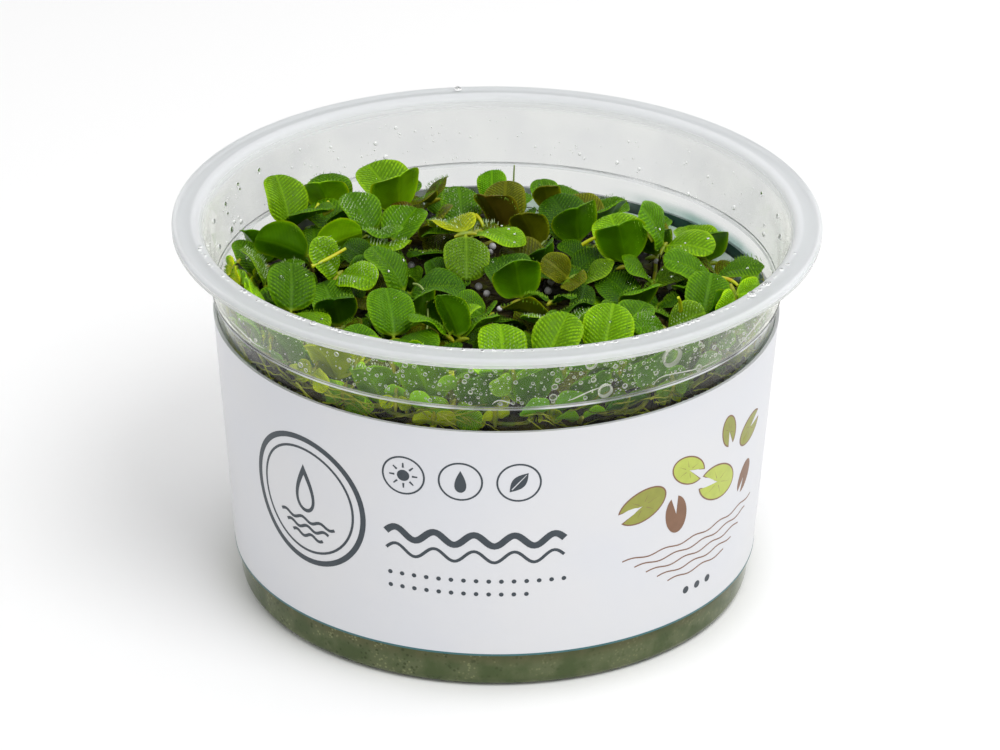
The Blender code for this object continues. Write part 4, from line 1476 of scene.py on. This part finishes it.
# The short stem at a pair's node, thin at both ends
def stemShape(pair):
    node, ahead, up = np.array(pair.node), np.array(pair.ahead), np.array(pair.up)
    places, reach = np.linspace(-1.0, 1.0, stems["steps"]), leafForm["stub"]
    path = [node + ahead * reach * p - up * stems["droop"] * mm * p * p for p in places]
    swell = stems["swell"]
    radii = [(stems["radius"] + swell * (1.0 - abs(p) ** stems["power"])) * mm for p in places]
    return tube(path, radii, 8)


# The stem from one pair's node down to the medium, along it and up to the next node
def runnerShape(pair, following):
    first, last = np.array(pair.node), np.array(following.node)
    low = (medium["top"] + runners["height"]) * mm
    path = []
    for i in range(runners["steps"] + 1):
        t = i / runners["steps"]
        point = first * (1.0 - t) + last * t
        point[2] = low + (point[2] - low) * (2.0 * t - 1.0) ** 4
        path.append(point)
    return tube(path, [runners["radius"] * mm] * len(path), 8)


def makeSpangles(settled, materials):
    for number, pairs in enumerate(settled, 1):
        chance = random.Random(100 + number)
        plants = Plants()
        grade = "hero" if number in heroes else "plain"
        leaves = [leaf for pair in pairs for leaf in pair.leaves]
        named = spangleTones.get(number, ())
        tones = named + ("mid",) * (len(leaves) - len(named))
        for at, pair in enumerate(pairs):
            for leaf, tone in zip(pair.leaves, tones[2 * at:]):
                plants.addLeaf(leaf, grade, tone, chance.uniform(*shadesAndWallLight["large"]), chance)
            plants.addStem(*stemShape(pair))
        for pair, following in zip(pairs, pairs[1:]):
            plants.addStem(*runnerShape(pair, following))
        piece = plants.plantPiece(f"spangle{number:02d}", materials)
        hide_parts(f"spangle_{number:02d}")
    report("leaves made")


# The small pairs, joined in one piece
def makeFillers(small, materials):
    chance = random.Random(9)
    plants = Plants()
    for pair, tone in small:
        # Painted light: small pairs near the wall are made lighter
        lighter = 1.0
        if math.hypot(pair.node.x, pair.node.y) > shadesAndWallLight["litWallFrom"] * mm:
            lighter = shadesAndWallLight["right" if pair.node.x > shadesAndWallLight["litRightFrom"] * mm else "left"]
        for leaf in pair.leaves:
            plants.addLeaf(leaf, "small", tone, chance.uniform(*shadesAndWallLight["small"]) * lighter, chance)
        plants.addStem(*stemShape(pair))
    plants.plantPiece("smallLeaves", materials)
    report("small leaves made")


def surfacePoint(leaf, u, v, grade):
    width = float(bladeHalfWidth(np.array([u]), leaf.length, 0.0)[0])
    fold = float(bladeFold(u, abs(v) * width))
    arch = leafForm["arch"] * leaf.length * math.sin(math.pi * u)
    bulge = blade["bulge"][grade] * math.sin(math.pi * abs(v)) * width
    thin = math.sqrt(max(0.0, 1.0 - v * v)) * blade["halfThickness"] * mm
    level = leaf.base + leaf.along * (u * leaf.length) + leaf.across * (v * width)
    return np.array(level + leaf.upper * (fold + arch + bulge + thin))


def hairShape(foot, direction, radius, height):
    ring = foot + radius * circleOf(direction, 3)
    faces = [(2, 1, 0), (0, 1, 3), (1, 2, 3), (2, 0, 3)]
    return np.vstack((ring, foot + direction * height)), faces


# Where hairs stand on a leaf, along it and across it
def hairPlaces(leaf, thick, chance):
    ribs, jitter = ribsOf(leaf), hairs["jitter"]
    for rib in range(hairs["firstRib"], int(ribs)):
        for side in (-1.0, 1.0):
            for step in range(1, hairs["perRib"] + 1):
                if not thick and chance.random() < hairs["thin"]:
                    continue
                aside = step * hairs["step"] + chance.uniform(-jitter, jitter)
                u = rib / ribs + blade["slant"] * aside
                if u > hairs["farthest"]:
                    continue
                width = float(bladeHalfWidth(np.array([u]), leaf.length, 0.0)[0])
                v = aside * leaf.length / width
                if v <= hairs["farthest"]:
                    yield u, side * v


def makeHairs(settled, small):
    chance = random.Random(7)
    heap = Heap()
    stray = hairs["stray"]
    for number, pairs in enumerate(settled + [[pair for pair, _ in small]], 1):
        thick, fuzzy = number in heroes, number in hairs["fuzzy"]
        grade = "hero" if thick else "small" if number > len(settled) else "plain"
        wide = hairs["radius"] * (hairs["fuzzyWidth"] if fuzzy else 1.0) * mm
        for leaf in [leaf for pair in pairs for leaf in pair.leaves]:
            for u, v in hairPlaces(leaf, thick, chance):
                lean = np.array(leaf.upper) + hairs["lean"] * np.array(leaf.along)
                lean += np.array([chance.uniform(-stray, stray) for _ in range(3)])
                lean /= np.linalg.norm(lean)
                height = hairs["height"] * chance.uniform(0.6, 1.2) * mm
                height *= 1.25 + 0.75 * v * v if fuzzy else 1.0
                heap.add(*hairShape(surfacePoint(leaf, u, v, grade), lean, wide, height), int(fuzzy))
    looks = [
        clouded(name, 0.35, 500.0, (hairs["root"], hairs[tip]), (0.38, 0.6), Specular_IOR_Level=0.2)[0]
        for name, tip in (("greenHairs", "green"), ("paleHairs", "pale"))
    ]
    heap.piece("leafHairs", looks, "leaf", sharp=80.0)
    report(f"{len(heap.faces) // 4} leaf hairs made")


# Roots: a dark wet mat on the medium under the plants, loose strands on it, and a tuft at each node

roots = {
    "low": 43.62, "matLeast": 0.15, "matRise": 0.75, "matStep": 0.9, "matJitter": 0.25,
    "matInset": 1.2,
    # The medium is bare beyond a wavy line across it: how high, how close and from where it waves
    "bareX": 0.62, "bareY": 0.785, "bareFrom": 31.0,
    "bareWaves": ((1.6, 0.31, 0.0), (0.8, 0.83, 1.0)),
    "wet": ((0.012, 0.009, 0.003, 1.0), (0.070, 0.052, 0.010, 1.0), (0.13, 0.15, 0.012, 1.0)),
    "young": ((0.10, 0.12, 0.006, 1.0), (0.42, 0.46, 0.03, 1.0)),
    "fineScale": 2400.0,
}
strands = {
    "count": 900, "inset": 1.7,
    "overhang": 1.0,  # how far one may start beyond the mat
    "radius": 0.10, "thickness": (0.6, 1.5), "taper": 0.6, "points": (6, 10), "fewest": 4,
    "step": 0.75, "turn": 0.6, "climb": 0.3, "start": (44.1, 45.2), "heights": (43.9, 45.9),
}
tufts = {
    "count": 7, "jitter": 0.3, "spread": 1.5,
    "below": (0.2, 0.3),  # how far below the node it starts, and below the foot it ends
    "bow": 0.6,
    "places": (0.0, 0.2, 0.45, 0.7, 0.9, 1.0),
    "radii": (0.13, 0.12, 0.11, 0.10, 0.08, 0.05),
}
# Young roots and old stems along the wall
wallRoots = {
    "count": 140, "angles": (172.0, 368.0), "inset": (0.35, 1.3), "thickness": (0.7, 1.8),
    "points": (5, 11), "step": (0.4, 1.1), "climb": (-0.5, 0.35), "climbChange": 0.3,
    "mostClimb": 0.7, "start": (44.4, 48.0), "heights": (44.2, 50.5),
}


def within(value, low, high):
    return min(max(value, low), high)


def rootMaterial():
    material, tree, shader = newMaterial("wetRoots", 0.42, Specular_IOR_Level=0.2)
    place = placeOf(tree)
    dark, brown, green = roots["wet"]
    streaks = noiseOf(tree, place, 260.0, 4.0)
    colour = mixed(tree, ramp(tree, streaks, 0.4, 0.62), dark, brown)
    painted(tree, shader, mixed(tree, ramp(tree, streaks, 0.60, 0.72), colour, green))
    bumped(tree, shader, noiseOf(tree, place, roots["fineScale"]), 0.5, 0.15)
    return material


def wallRootMaterial():
    look = clouded("youngRoots", 0.4, 200.0, roots["young"], (0.38, 0.62), Specular_IOR_Level=0.2)
    material, tree, shader, place, _ = look
    bumped(tree, shader, noiseOf(tree, place, roots["fineScale"]), 0.4, 0.1)
    return material


# How far a spot is from the bare part of the medium, negative inside it
def coverOf(x, y):
    edge = roots["bareFrom"]
    for height, pace, start in roots["bareWaves"]:
        edge = edge + height * np.sin(pace * (x - y) + start)
    return edge - (roots["bareX"] * x + roots["bareY"] * y)


# The mat is a loose grid of squares, bumpy above and flat below
def makeRootMat(material):
    step, jitter = roots["matStep"], roots["matJitter"]
    limit = potInner(medium["top"]) - roots["matInset"]
    count = int(limit / step) + 1
    generator = np.random.default_rng(11)
    bumps = generator.uniform(0.0, 1.0, (2 * count + 1, 2 * count + 1))
    index, tops = {}, []
    for i in range(-count, count + 1):
        for j in range(-count, count + 1):
            x, y = i * step, j * step
            if math.hypot(x, y) > limit or coverOf(x, y) < 0.0:
                continue
            x += generator.uniform(-jitter, jitter)
            y += generator.uniform(-jitter, jitter)
            index[i, j] = len(tops)
            rise = roots["matRise"] * bumps[i + count, j + count]
            tops.append((x, y, roots["low"] + roots["matLeast"] + rise))
    quads = []
    for (i, j), a in index.items():
        corners = [index.get(c) for c in ((i + 1, j), (i + 1, j + 1), (i, j + 1))]
        if None not in corners:
            quads.append((a, *corners))
    used, quads = usedOnly(quads)
    top = np.array(tops)[used]
    bottom = top.copy()
    bottom[:, 2] = roots["low"]
    faces, _ = thickSheet(quads, [0] * len(quads), len(top))
    points = np.concatenate((top, bottom)) * mm
    addPiece("rootMat", points, faces, [material], sharp=85.0)


# A strand that wanders over the mat; no path where the medium is bare
def loosePath(limit, chance):
    path, step, turn, climb = [], strands["step"], strands["turn"], strands["climb"]
    angle, reach = chance.uniform(0.0, math.tau), limit * math.sqrt(chance.random())
    x, y = reach * math.cos(angle), reach * math.sin(angle)
    if coverOf(x, y) < -strands["overhang"]:
        return path
    heading, height = chance.uniform(0.0, math.tau), chance.uniform(*strands["start"])
    for _ in range(chance.randint(*strands["points"])):
        if math.hypot(x, y) > limit:
            break
        path.append((x * mm, y * mm, height * mm))
        heading += chance.uniform(-turn, turn)
        x += step * math.cos(heading)
        y += step * math.sin(heading)
        height = within(height + chance.uniform(-climb, climb), *strands["heights"])
    return path


# One root of a tuft, from a pair's node down to its foot
def tuftPath(pair, chance):
    jitter, spread, (above, below) = tufts["jitter"], tufts["spread"] * mm, tufts["below"]
    start = [chance.uniform(-jitter, jitter) * mm, chance.uniform(-jitter, jitter) * mm, -above * mm]
    end = [chance.uniform(-spread, spread), chance.uniform(-spread, spread), -below * mm]
    first, last = np.array(pair.node) + np.array(start), np.array(pair.foot) + np.array(end)
    outward = np.array([chance.uniform(-1, 1), chance.uniform(-1, 1), 0.0]) * tufts["bow"] * mm
    return [first * (1 - t) + last * t + outward * math.sin(math.pi * t) for t in tufts["places"]]


def wallRootPath(chance):
    turn = math.radians(chance.uniform(*wallRoots["angles"]))
    height, path = chance.uniform(*wallRoots["start"]), []
    inset, climb = chance.uniform(*wallRoots["inset"]), chance.uniform(*wallRoots["climb"])
    change, steepest = wallRoots["climbChange"], wallRoots["mostClimb"]
    for _ in range(chance.randint(*wallRoots["points"])):
        reach = potInner(height) - inset
        path.append((reach * math.cos(turn) * mm, reach * math.sin(turn) * mm, height * mm))
        turn += chance.uniform(*wallRoots["step"]) / reach
        climb = within(climb + chance.uniform(-change, change), -steepest, steepest)
        height = within(height + climb, *wallRoots["heights"])
    return path


# A strand that thins to its end
def strandShape(path, thickness, sides, chance):
    thick = strands["radius"] * chance.uniform(*thickness) * mm
    radii = [thick * (1.0 - strands["taper"] * i / len(path)) for i in range(len(path))]
    return tube(path, radii, sides)


def makeStrands(material, settled):
    chance = random.Random(5)
    heap = Heap()
    limit = potInner(medium["top"]) - strands["inset"]
    made = 0
    while made < strands["count"]:
        path = loosePath(limit, chance)
        if len(path) >= strands["fewest"]:
            heap.add(*strandShape(path, strands["thickness"], 4, chance))
            made += 1
    for pair in [pair for pairs in settled for pair in pairs]:
        for _ in range(tufts["count"]):
            heap.add(*tube(tuftPath(pair, chance), [thin * mm for thin in tufts["radii"]], 4))
    for _ in range(wallRoots["count"]):
        heap.add(*strandShape(wallRootPath(chance), wallRoots["thickness"], 5, chance), 1)
    heap.piece("rootStrands", [material, wallRootMaterial()], "root", sharp=85.0)
    report("roots made")


# Water: drops on the inside of the collar and rim, and beads on the leaves

drops = {
    "clear": {"count": 200, "size": (0.16, 0.46)},
    "fine": {"count": 760, "size": (0.07, 0.15)},
    # Sides and rings of each kind
    "mesh": {
        "big": (32, 9), "clear": (14, 5), "fine": (8, 3),
        "blob": (20, 7), "rim": (24, 7), "row": (12, 4),
    },
    "rise": 0.85,  # height over radius
    "rimRise": 0.8, "wallGap": 0.02, "apart": 0.05,
    "tries": 60,  # for each drop that scatters
    "mostlySmall": 2.6, "belowTop": 0.3, "aboveCrease": 0.5,
    # Where drops gather: the least share, the front's share and middle, and patches, each with its
    # middle, half width and share
    "least": 0.10, "front": (0.25, -80.0), "patchShare": 0.6,
    "patches": ((-62.0, 16.0, 1.0), (-96.0, 12.0, 0.8), (-30.0, 10.0, 0.8)),
    # The drops that show best: angle from +X, height and radius
    "big": (
        (-122.0, 55.2, 0.39), (-115.1, 53.9, 0.36), (-107.4, 55.9, 0.46), (-105.6, 55.9, 0.31),
        (-103.5, 54.7, 0.34), (-91.0, 55.3, 0.31), (-92.1, 53.8, 0.23), (-79.2, 55.3, 0.34),
        (-78.6, 52.8, 0.50), (-78.8, 50.9, 0.62), (-71.7, 56.2, 0.93), (-53.7, 54.1, 1.71),
        (-63.5, 54.2, 0.31), (-63.6, 53.0, 0.25), (-60.5, 54.6, 0.31), (-63.0, 55.9, 0.34),
        (-61.1, 52.5, 0.28), (-68.2, 50.9, 1.20), (-46.8, 54.7, 0.39), (-44.7, 52.1, 0.31),
        (-36.2, 52.4, 0.31), (-37.3, 51.0, 0.25), (-33.4, 51.4, 0.25), (-131.8, 50.8, 0.46),
        (163.2, 56.0, 0.45), (171.8, 56.1, 0.45), (156.2, 57.0, 0.42), (147.8, 56.8, 0.50),
        (155.7, 56.1, 0.30), (162.8, 51.6, 0.55), (171.9, 51.8, 0.45), (163.0, 54.4, 0.30),
        (6.0, 55.0, 0.50), (11.4, 56.6, 0.40), (21.5, 56.9, 0.40), (-4.0, 53.0, 0.40),
    ),
    # Edges of the water films round the crease: angle and height of their points
    "films": (
        (
            (-57.3, 50.0), (-56.2, 50.7), (-55.0, 51.2), (-51.7, 50.9), (-48.0, 50.4), (-44.7, 50.0),
            (-40.0, 50.2),
        ),
        (
            (-75.7, 50.0), (-75.2, 50.3), (-74.3, 50.5), (-72.5, 50.6), (-71.6, 51.3), (-69.6, 51.8),
            (-67.0, 51.9),
        ),
        ((-90.6, 50.0), (-89.4, 50.7), (-87.9, 50.5), (-86.4, 50.0)),
        ((-34.0, 50.2), (-30.0, 51.0), (-26.0, 52.2), (-22.0, 52.6), (-17.0, 53.4)),
        ((-158.0, 50.1), (-153.0, 50.6), (-148.3, 50.2), (-143.0, 50.4)),
    ),
    "filmRadius": 0.10, "filmSteps": 36, "filmEnd": 0.4,
    # Blobs that hang on the crease: angle, height and radius
    "blobs": (
        (-148.3, 50.1, 0.42), (-130.5, 50.2, 0.36), (-102.8, 50.1, 0.34), (-94.9, 50.1, 0.30),
        (-89.0, 50.1, 0.34), (-86.6, 50.2, 0.30), (-84.9, 50.2, 0.28), (-72.3, 50.2, 0.36),
        (-45.9, 50.2, 0.62), (-78.8, 50.2, 0.34),
    ),
    # On the rim: angle, distance from the axis and radius
    "rim": (
        (97.7, 48.6, 0.62), (-35.9, 46.9, 0.70), (-30.6, 46.9, 0.58), (-47.0, 46.8, 0.40),
        (-125.0, 46.9, 0.50), (-104.0, 46.9, 0.42), (-62.0, 46.8, 0.34), (-21.0, 47.0, 0.36),
    ),
    # A row of small drops along the rim's inner edge
    "row": {"count": 150, "angles": (-165.0, -15.0), "radius": (0.12, 0.36), "inset": (0.55, 1.0)},
    "rimLift": 0.01, "rowSink": 0.02,
    "colours": ((0.97, 0.99, 0.98, 1.0), (1.0, 1.0, 1.0, 1.0)),
}


def waterMaterial(name, roughness, clearness):
    values = {"IOR": 1.333, "Transmission_Weight": clearness}
    return clouded(name, roughness, 200.0, drops["colours"], **values)[0]


def spotAt(angle, reach, height):
    turn = math.radians(angle)
    return np.array((reach * math.cos(turn), reach * math.sin(turn), height)) * mm


def wallPlace(angle, height):
    turn = math.radians(angle)
    slope = (pot["collarTopRadius"] - pot["collarFootRadius"]) / (pot["collarTop"] - pot["crease"])
    normal = np.array((-math.cos(turn), -math.sin(turn), slope))
    return spotAt(angle, potInner(height) - drops["wallGap"], height), normal / np.linalg.norm(normal)


# How likely a drop is: more at the front, most behind the rim right of the middle
def dropShare(angle):
    share, middle = drops["front"]
    front = max(0.0, math.cos(math.radians(angle - middle)))
    patch = sum(
        part * math.exp(-(((angle - centre) / width) ** 2)) for centre, width, part in drops["patches"]
    )
    return drops["least"] + share * front + drops["patchShare"] * min(1.0, patch)


# Adds a drop; the first rounds of its faces are whitish, a painted highlight where its steep foot gathers
# light
def addDrop(heap, kind, centre, normal, radius, rounds, rise=drops["rise"]):
    sides, rings = drops["mesh"][kind]
    points, faces = dome(centre, normal, radius * mm, radius * rise * mm, sides, rings)
    whitish = sides * rounds
    heap.add(points, faces, [1] * whitish + [0] * (len(faces) - whitish))


def scatterDrops(heap, kind, placed, chance):
    count, (low, high) = drops[kind]["count"], drops[kind]["size"]
    lowest, highest = pot["crease"] + drops["aboveCrease"], pot["collarTop"] - drops["belowTop"]
    made = 0
    for _ in range(drops["tries"] * count):
        if made == count:
            break
        angle = chance.uniform(-180.0, 180.0)
        if chance.random() > dropShare(angle):
            continue
        height = chance.uniform(lowest, highest)
        radius = low + (high - low) * chance.random() ** drops["mostlySmall"]
        centre, normal = wallPlace(angle, height)
        reach = [(other, (radius + size + drops["apart"]) * mm) for other, size in placed]
        if any(np.linalg.norm(centre - other) < least for other, least in reach):
            continue
        placed.append((centre, radius))
        addDrop(heap, kind, centre, normal, radius, 3)
        made += 1


# A water film's thick edge along the crease, thin at both ends
def filmShape(corners):
    places = [wallPlace(angle, height) for angle, height in corners]
    radius, steps, end = drops["filmRadius"], drops["filmSteps"], drops["filmEnd"]
    path = smoothPath([(centre + normal * radius * mm) / mm for centre, normal in places], steps)
    swell = [end + (1.0 - end) * math.sin(math.pi * i / (steps - 1)) for i in range(steps)]
    return tube(path, [radius * share * mm for share in swell], 8)


def makeDrops(clear, whitish):
    chance = random.Random(3)
    big, small, fine = Heap(), Heap(), Heap()
    placed = []
    for angle, height, radius in drops["big"]:
        centre, normal = wallPlace(angle, height)
        addDrop(big, "big", centre, normal, radius, 4 if angle < 0.0 else 2)
        placed.append((centre, radius))
    scatterDrops(small, "clear", placed, chance)
    scatterDrops(fine, "fine", placed, chance)
    for corners in drops["films"]:
        small.add(*filmShape(corners), 1)
    for angle, height, radius in drops["blobs"]:
        addDrop(small, "blob", *wallPlace(angle, height), radius, 4)
    up, rise, row = np.array((0.0, 0.0, 1.0)), drops["rimRise"], drops["row"]
    for angle, reach, radius in drops["rim"]:
        centre = spotAt(angle, reach, pot["height"] + drops["rimLift"])
        addDrop(big, "rim", centre, up, radius, 2, rise)
    for _ in range(row["count"]):
        angle, radius = chance.uniform(*row["angles"]), chance.uniform(*row["radius"])
        reach = pot["rimRadius"] - pot["rimWidth"] + chance.uniform(*row["inset"])
        centre = spotAt(angle, reach, pot["height"] - drops["rowSink"])
        addDrop(small, "row", centre, up, radius, 2, rise)
    big.piece("largeDrops", [clear, whitish], "water", sharp=45.0)
    small.piece("smallDrops", [clear, whitish], "water", sharp=45.0)
    # The mist's fine drops are whitish all over, as painted glints
    fine.piece("mist", [whitish, whitish], "water", sharp=60.0)
    report(f"{len(placed)} drops made")


# Dew on the leaves' upper sides
dew = {
    "count": 420, "size": (0.10, 0.30), "big": 12, "bigSize": (0.4, 0.6), "along": (0.3, 0.9),
    "across": (-0.8, 0.8), "rise": 0.8,
}


def makeDew(settled, material):
    chance = random.Random(13)
    heap = Heap()
    leaves = [
        (leaf, "hero" if number in heroes else "plain")
        for number, pairs in enumerate(settled, 1)
        for pair in pairs
        for leaf in pair.leaves
    ]
    low, high = dew["size"]
    for i in range(dew["count"]):
        leaf, grade = chance.choice(leaves)
        u, v = chance.uniform(*dew["along"]), chance.uniform(*dew["across"])
        radius = (low + (high - low) * chance.random() ** 2) * mm
        if i < dew["big"]:
            radius = chance.uniform(*dew["bigSize"]) * mm
        upper = np.array(leaf.upper)
        foot = surfacePoint(leaf, u, v, grade) + upper * blade["ribHeight"] * mm
        heap.add(*dome(foot, upper, radius, radius * dew["rise"], 12, 5))
    heap.piece("dew", [material], "water", sharp=60.0)


# Bare yellow stems, a pale curved one, and pale beads in the hollow: points in millimetres
strays = {
    "yellow": (
        ((-28.3, -7.3, 55.0), (-25.7, -5.8, 55.7), (-23.2, -4.0, 56.5)),
        ((13.4, 9.7, 51.0), (15.0, 9.4, 52.2), (16.7, 8.9, 53.0)),
        ((22.7, 11.3, 52.8), (23.6, 10.4, 52.5), (24.3, 9.3, 51.8)),
        ((28.0, -14.9, 51.3), (27.9, -16.3, 53.3), (27.5, -17.8, 55.3)),
        ((34.6, -5.7, 52.8), (36.0, -7.0, 53.0), (37.0, -8.5, 52.8)),
        ((-3.4, 21.5, 50.5), (-2.4, 20.4, 49.6), (-1.9, 19.6, 47.8)),
        ((-29.3, 17.5, 52.0), (-28.6, 17.9, 52.9), (-28.2, 18.6, 53.6)),
        ((-28.2, 18.0, 52.2), (-27.3, 18.5, 53.0), (-26.6, 19.3, 53.7)),
        ((-27.4, 17.3, 52.3), (-26.6, 17.6, 52.6), (-25.8, 17.9, 53.0)),
    ),
    "pale": (
        (
            (-12.8, -3.0, 50.0), (-11.2, -5.6, 50.4), (-10.4, -10.5, 49.0), (-10.6, -13.8, 48.2),
            (-10.8, -16.2, 47.0),
        ),
        ((2.6, 36.2, 46.0), (2.6, 36.4, 49.0), (2.7, 36.5, 52.4)),
        ((7.0, 18.0, 47.0), (9.0, 19.5, 48.6), (11.0, 21.5, 49.6)),
    ),
    "beads": (
        (-2.8, 2.9, 46.9, 0.62), (-1.5, 0.4, 46.9, 0.55), (-3.4, -0.7, 46.9, 0.50),
        (-13.4, 10.3, 46.9, 0.62), (-12.3, 8.1, 46.9, 0.50), (8.5, 4.9, 46.9, 0.60),
        (8.0, 1.6, 46.9, 0.62), (8.3, 7.4, 46.7, 0.52), (-0.7, 17.5, 46.9, 0.60),
        (-1.1, 15.3, 46.9, 0.55), (10.8, 17.7, 46.9, 0.50), (13.9, -1.5, 46.9, 0.48),
        (-10.2, 17.7, 46.9, 0.50), (-6.3, -6.1, 46.9, 0.50), (0.5, -4.9, 46.9, 0.45),
        (3.9, -4.1, 46.9, 0.50), (25.1, 12.5, 46.9, 0.45), (26.9, 3.4, 46.9, 0.50),
        (-14.9, 0.8, 46.9, 0.45), (-2.2, 8.2, 46.7, 0.42),
    ),
    "beadEnds": 0.97,  # where a bead's first and last ring lie, over its radius
    "yellowShape": {"steps": 12, "radius": 0.34, "thinner": 0.10, "sides": 9},
    "paleShape": {"steps": 20, "radius": 0.20, "thinner": 0.08, "sides": 8},
    "beadColours": ((0.46, 0.44, 0.44, 1.0), (0.84, 0.83, 0.86, 1.0)),
    "paleColours": ((0.20, 0.30, 0.05, 1.0), (0.36, 0.44, 0.16, 1.0)),
    "goldenColours": ((0.50, 0.56, 0.004, 1.0), (0.54, 0.38, 0.004, 1.0)),
}


def makeStrays():
    heap = Heap()
    for number, kind in enumerate(("yellow", "pale")):
        shape = strays[kind + "Shape"]
        steps, thick, thinner = shape["steps"], shape["radius"], shape["thinner"]
        radii = [(thick - thinner * i / (steps - 1)) * mm for i in range(steps)]
        for corners in strays[kind]:
            heap.add(*tube(smoothPath(corners, steps), radii, shape["sides"]), number)
    golden = clouded("goldenStem", 0.38, 500.0, strays["goldenColours"], (0.52, 0.68))[0]
    pale = clouded("paleStem", 0.4, 600.0, strays["paleColours"])[0]
    heap.piece("strayStems", [golden, pale], "leaf", sharp=60.0)
    beads = Heap()
    heights = np.linspace(-strays["beadEnds"], strays["beadEnds"], 9)
    for x, y, z, radius in strays["beads"]:
        path = [np.array((x, y, z + radius * h)) * mm for h in heights]
        beads.add(*tube(path, [radius * math.sqrt(1.0 - h * h) * mm for h in heights], 14))
    material = clouded("paleBeads", 0.25, 900.0, strays["beadColours"])[0]
    beads.piece("rootBeads", [material], "root", sharp=70.0)

# Camera, floor and light

camera = {
    "elevation": 26.72, "distance": 800.0, "aimHeight": 33.14, "lens": 184.4, "sensor": 36.0,
    "roll": 0.476, "shiftX": 0.0042, "shiftY": -0.001, "clip": (10.0, 20000.0),
}
light = {
    "worldColour": (1.0, 1.0, 1.0, 1.0),
    "worldStrength": 0.76,
    "aimHeight": 35.0,
    "key": {"place": (200.0, -330.0, 620.0), "size": 380.0, "power": 2.5},
    "fill": {"place": (420.0, 200.0, 420.0), "size": 400.0, "power": 0.5},
}
floorLook = {
    "half": 2500.0,
    "drop": 0.05,  # how far it lies below the pot's foot
    "colours": ((0.935, 0.935, 0.935, 1.0), (0.95, 0.95, 0.95, 1.0)),
}


def makeCamera():
    data = bpy.data.cameras.new("view")
    data.lens = camera["lens"]
    data.sensor_width = camera["sensor"]
    data.sensor_fit = "HORIZONTAL"
    data.shift_x = camera["shiftX"]
    data.shift_y = camera["shiftY"]
    data.clip_start, data.clip_end = [distance * mm for distance in camera["clip"]]
    made = bpy.data.objects.new("view", data)
    bpy.context.scene.collection.objects.link(made)
    elevation = math.radians(camera["elevation"])
    back = camera["distance"] * math.cos(elevation)
    up = camera["aimHeight"] + camera["distance"] * math.sin(elevation)
    place = Matrix.Translation(Vector((0.0, -back, up)) * mm)
    tilt = Matrix.Rotation(math.pi / 2 - elevation, 4, "X")
    made.matrix_world = place @ tilt @ Matrix.Rotation(math.radians(camera["roll"]), 4, "Z")
    bpy.context.scene.camera = made


def addLight(name):
    data = bpy.data.lights.new(name, "AREA")
    data.shape = "DISK"
    data.size = light[name]["size"] * mm
    data.energy = light[name]["power"]
    made = bpy.data.objects.new(name, data)
    bpy.context.scene.collection.objects.link(made)
    made.location = Vector(light[name]["place"]) * mm
    aim = Vector((0.0, 0.0, light["aimHeight"] * mm)) - made.location
    made.rotation_euler = aim.to_track_quat("-Z", "Y").to_euler()


def makeStage():
    mesh = bpy.data.meshes.new("floor")
    half = floorLook["half"] * mm
    corners = [(-half, -half, 0), (half, -half, 0), (half, half, 0), (-half, half, 0)]
    mesh.from_pydata(corners, [], [(0, 1, 2, 3)])
    mesh.materials.append(clouded("paleFloor", 0.6, 6.0, floorLook["colours"])[0])
    floor = bpy.data.objects.new("floor", mesh)
    bpy.context.scene.collection.objects.link(floor)
    floor.location.z = -floorLook["drop"] * mm
    floor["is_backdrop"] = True
    world = bpy.data.worlds.new("studio")
    world.use_nodes = True
    background = world.node_tree.nodes["Background"]
    background.inputs["Color"].default_value = light["worldColour"]
    background.inputs["Strength"].default_value = light["worldStrength"]
    bpy.context.scene.world = world
    addLight("key")
    addLight("fill")
    bpy.context.scene.view_settings.view_transform = "Standard"


makeCamera()
makeStage()
makePot()
makeLabelPaper()
makeLabelPrint()
makeMedium()
settled, placed = settleSpangles()
compareWithSolids(settled)
small = settleFillers(placed)
leafMaterials = [leafMaterial("leafUpper", "upper"), leafMaterial("leafUnder", "under"), stemMaterial()]
makeSpangles(settled, leafMaterials)
makeFillers(small, leafMaterials)
makeHairs(settled, small)
wetRoots = rootMaterial()
makeRootMat(wetRoots)
makeStrands(wetRoots, settled)
makeStrays()
water = waterMaterial("waterDrops", 0.0, 1.0)
makeDrops(water, waterMaterial("paintedDropGlints", 0.12, 0.12))
makeDew(settled, water)

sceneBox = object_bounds()
[[list(corner) for corner in box] for box in (cadBox, sceneBox)]
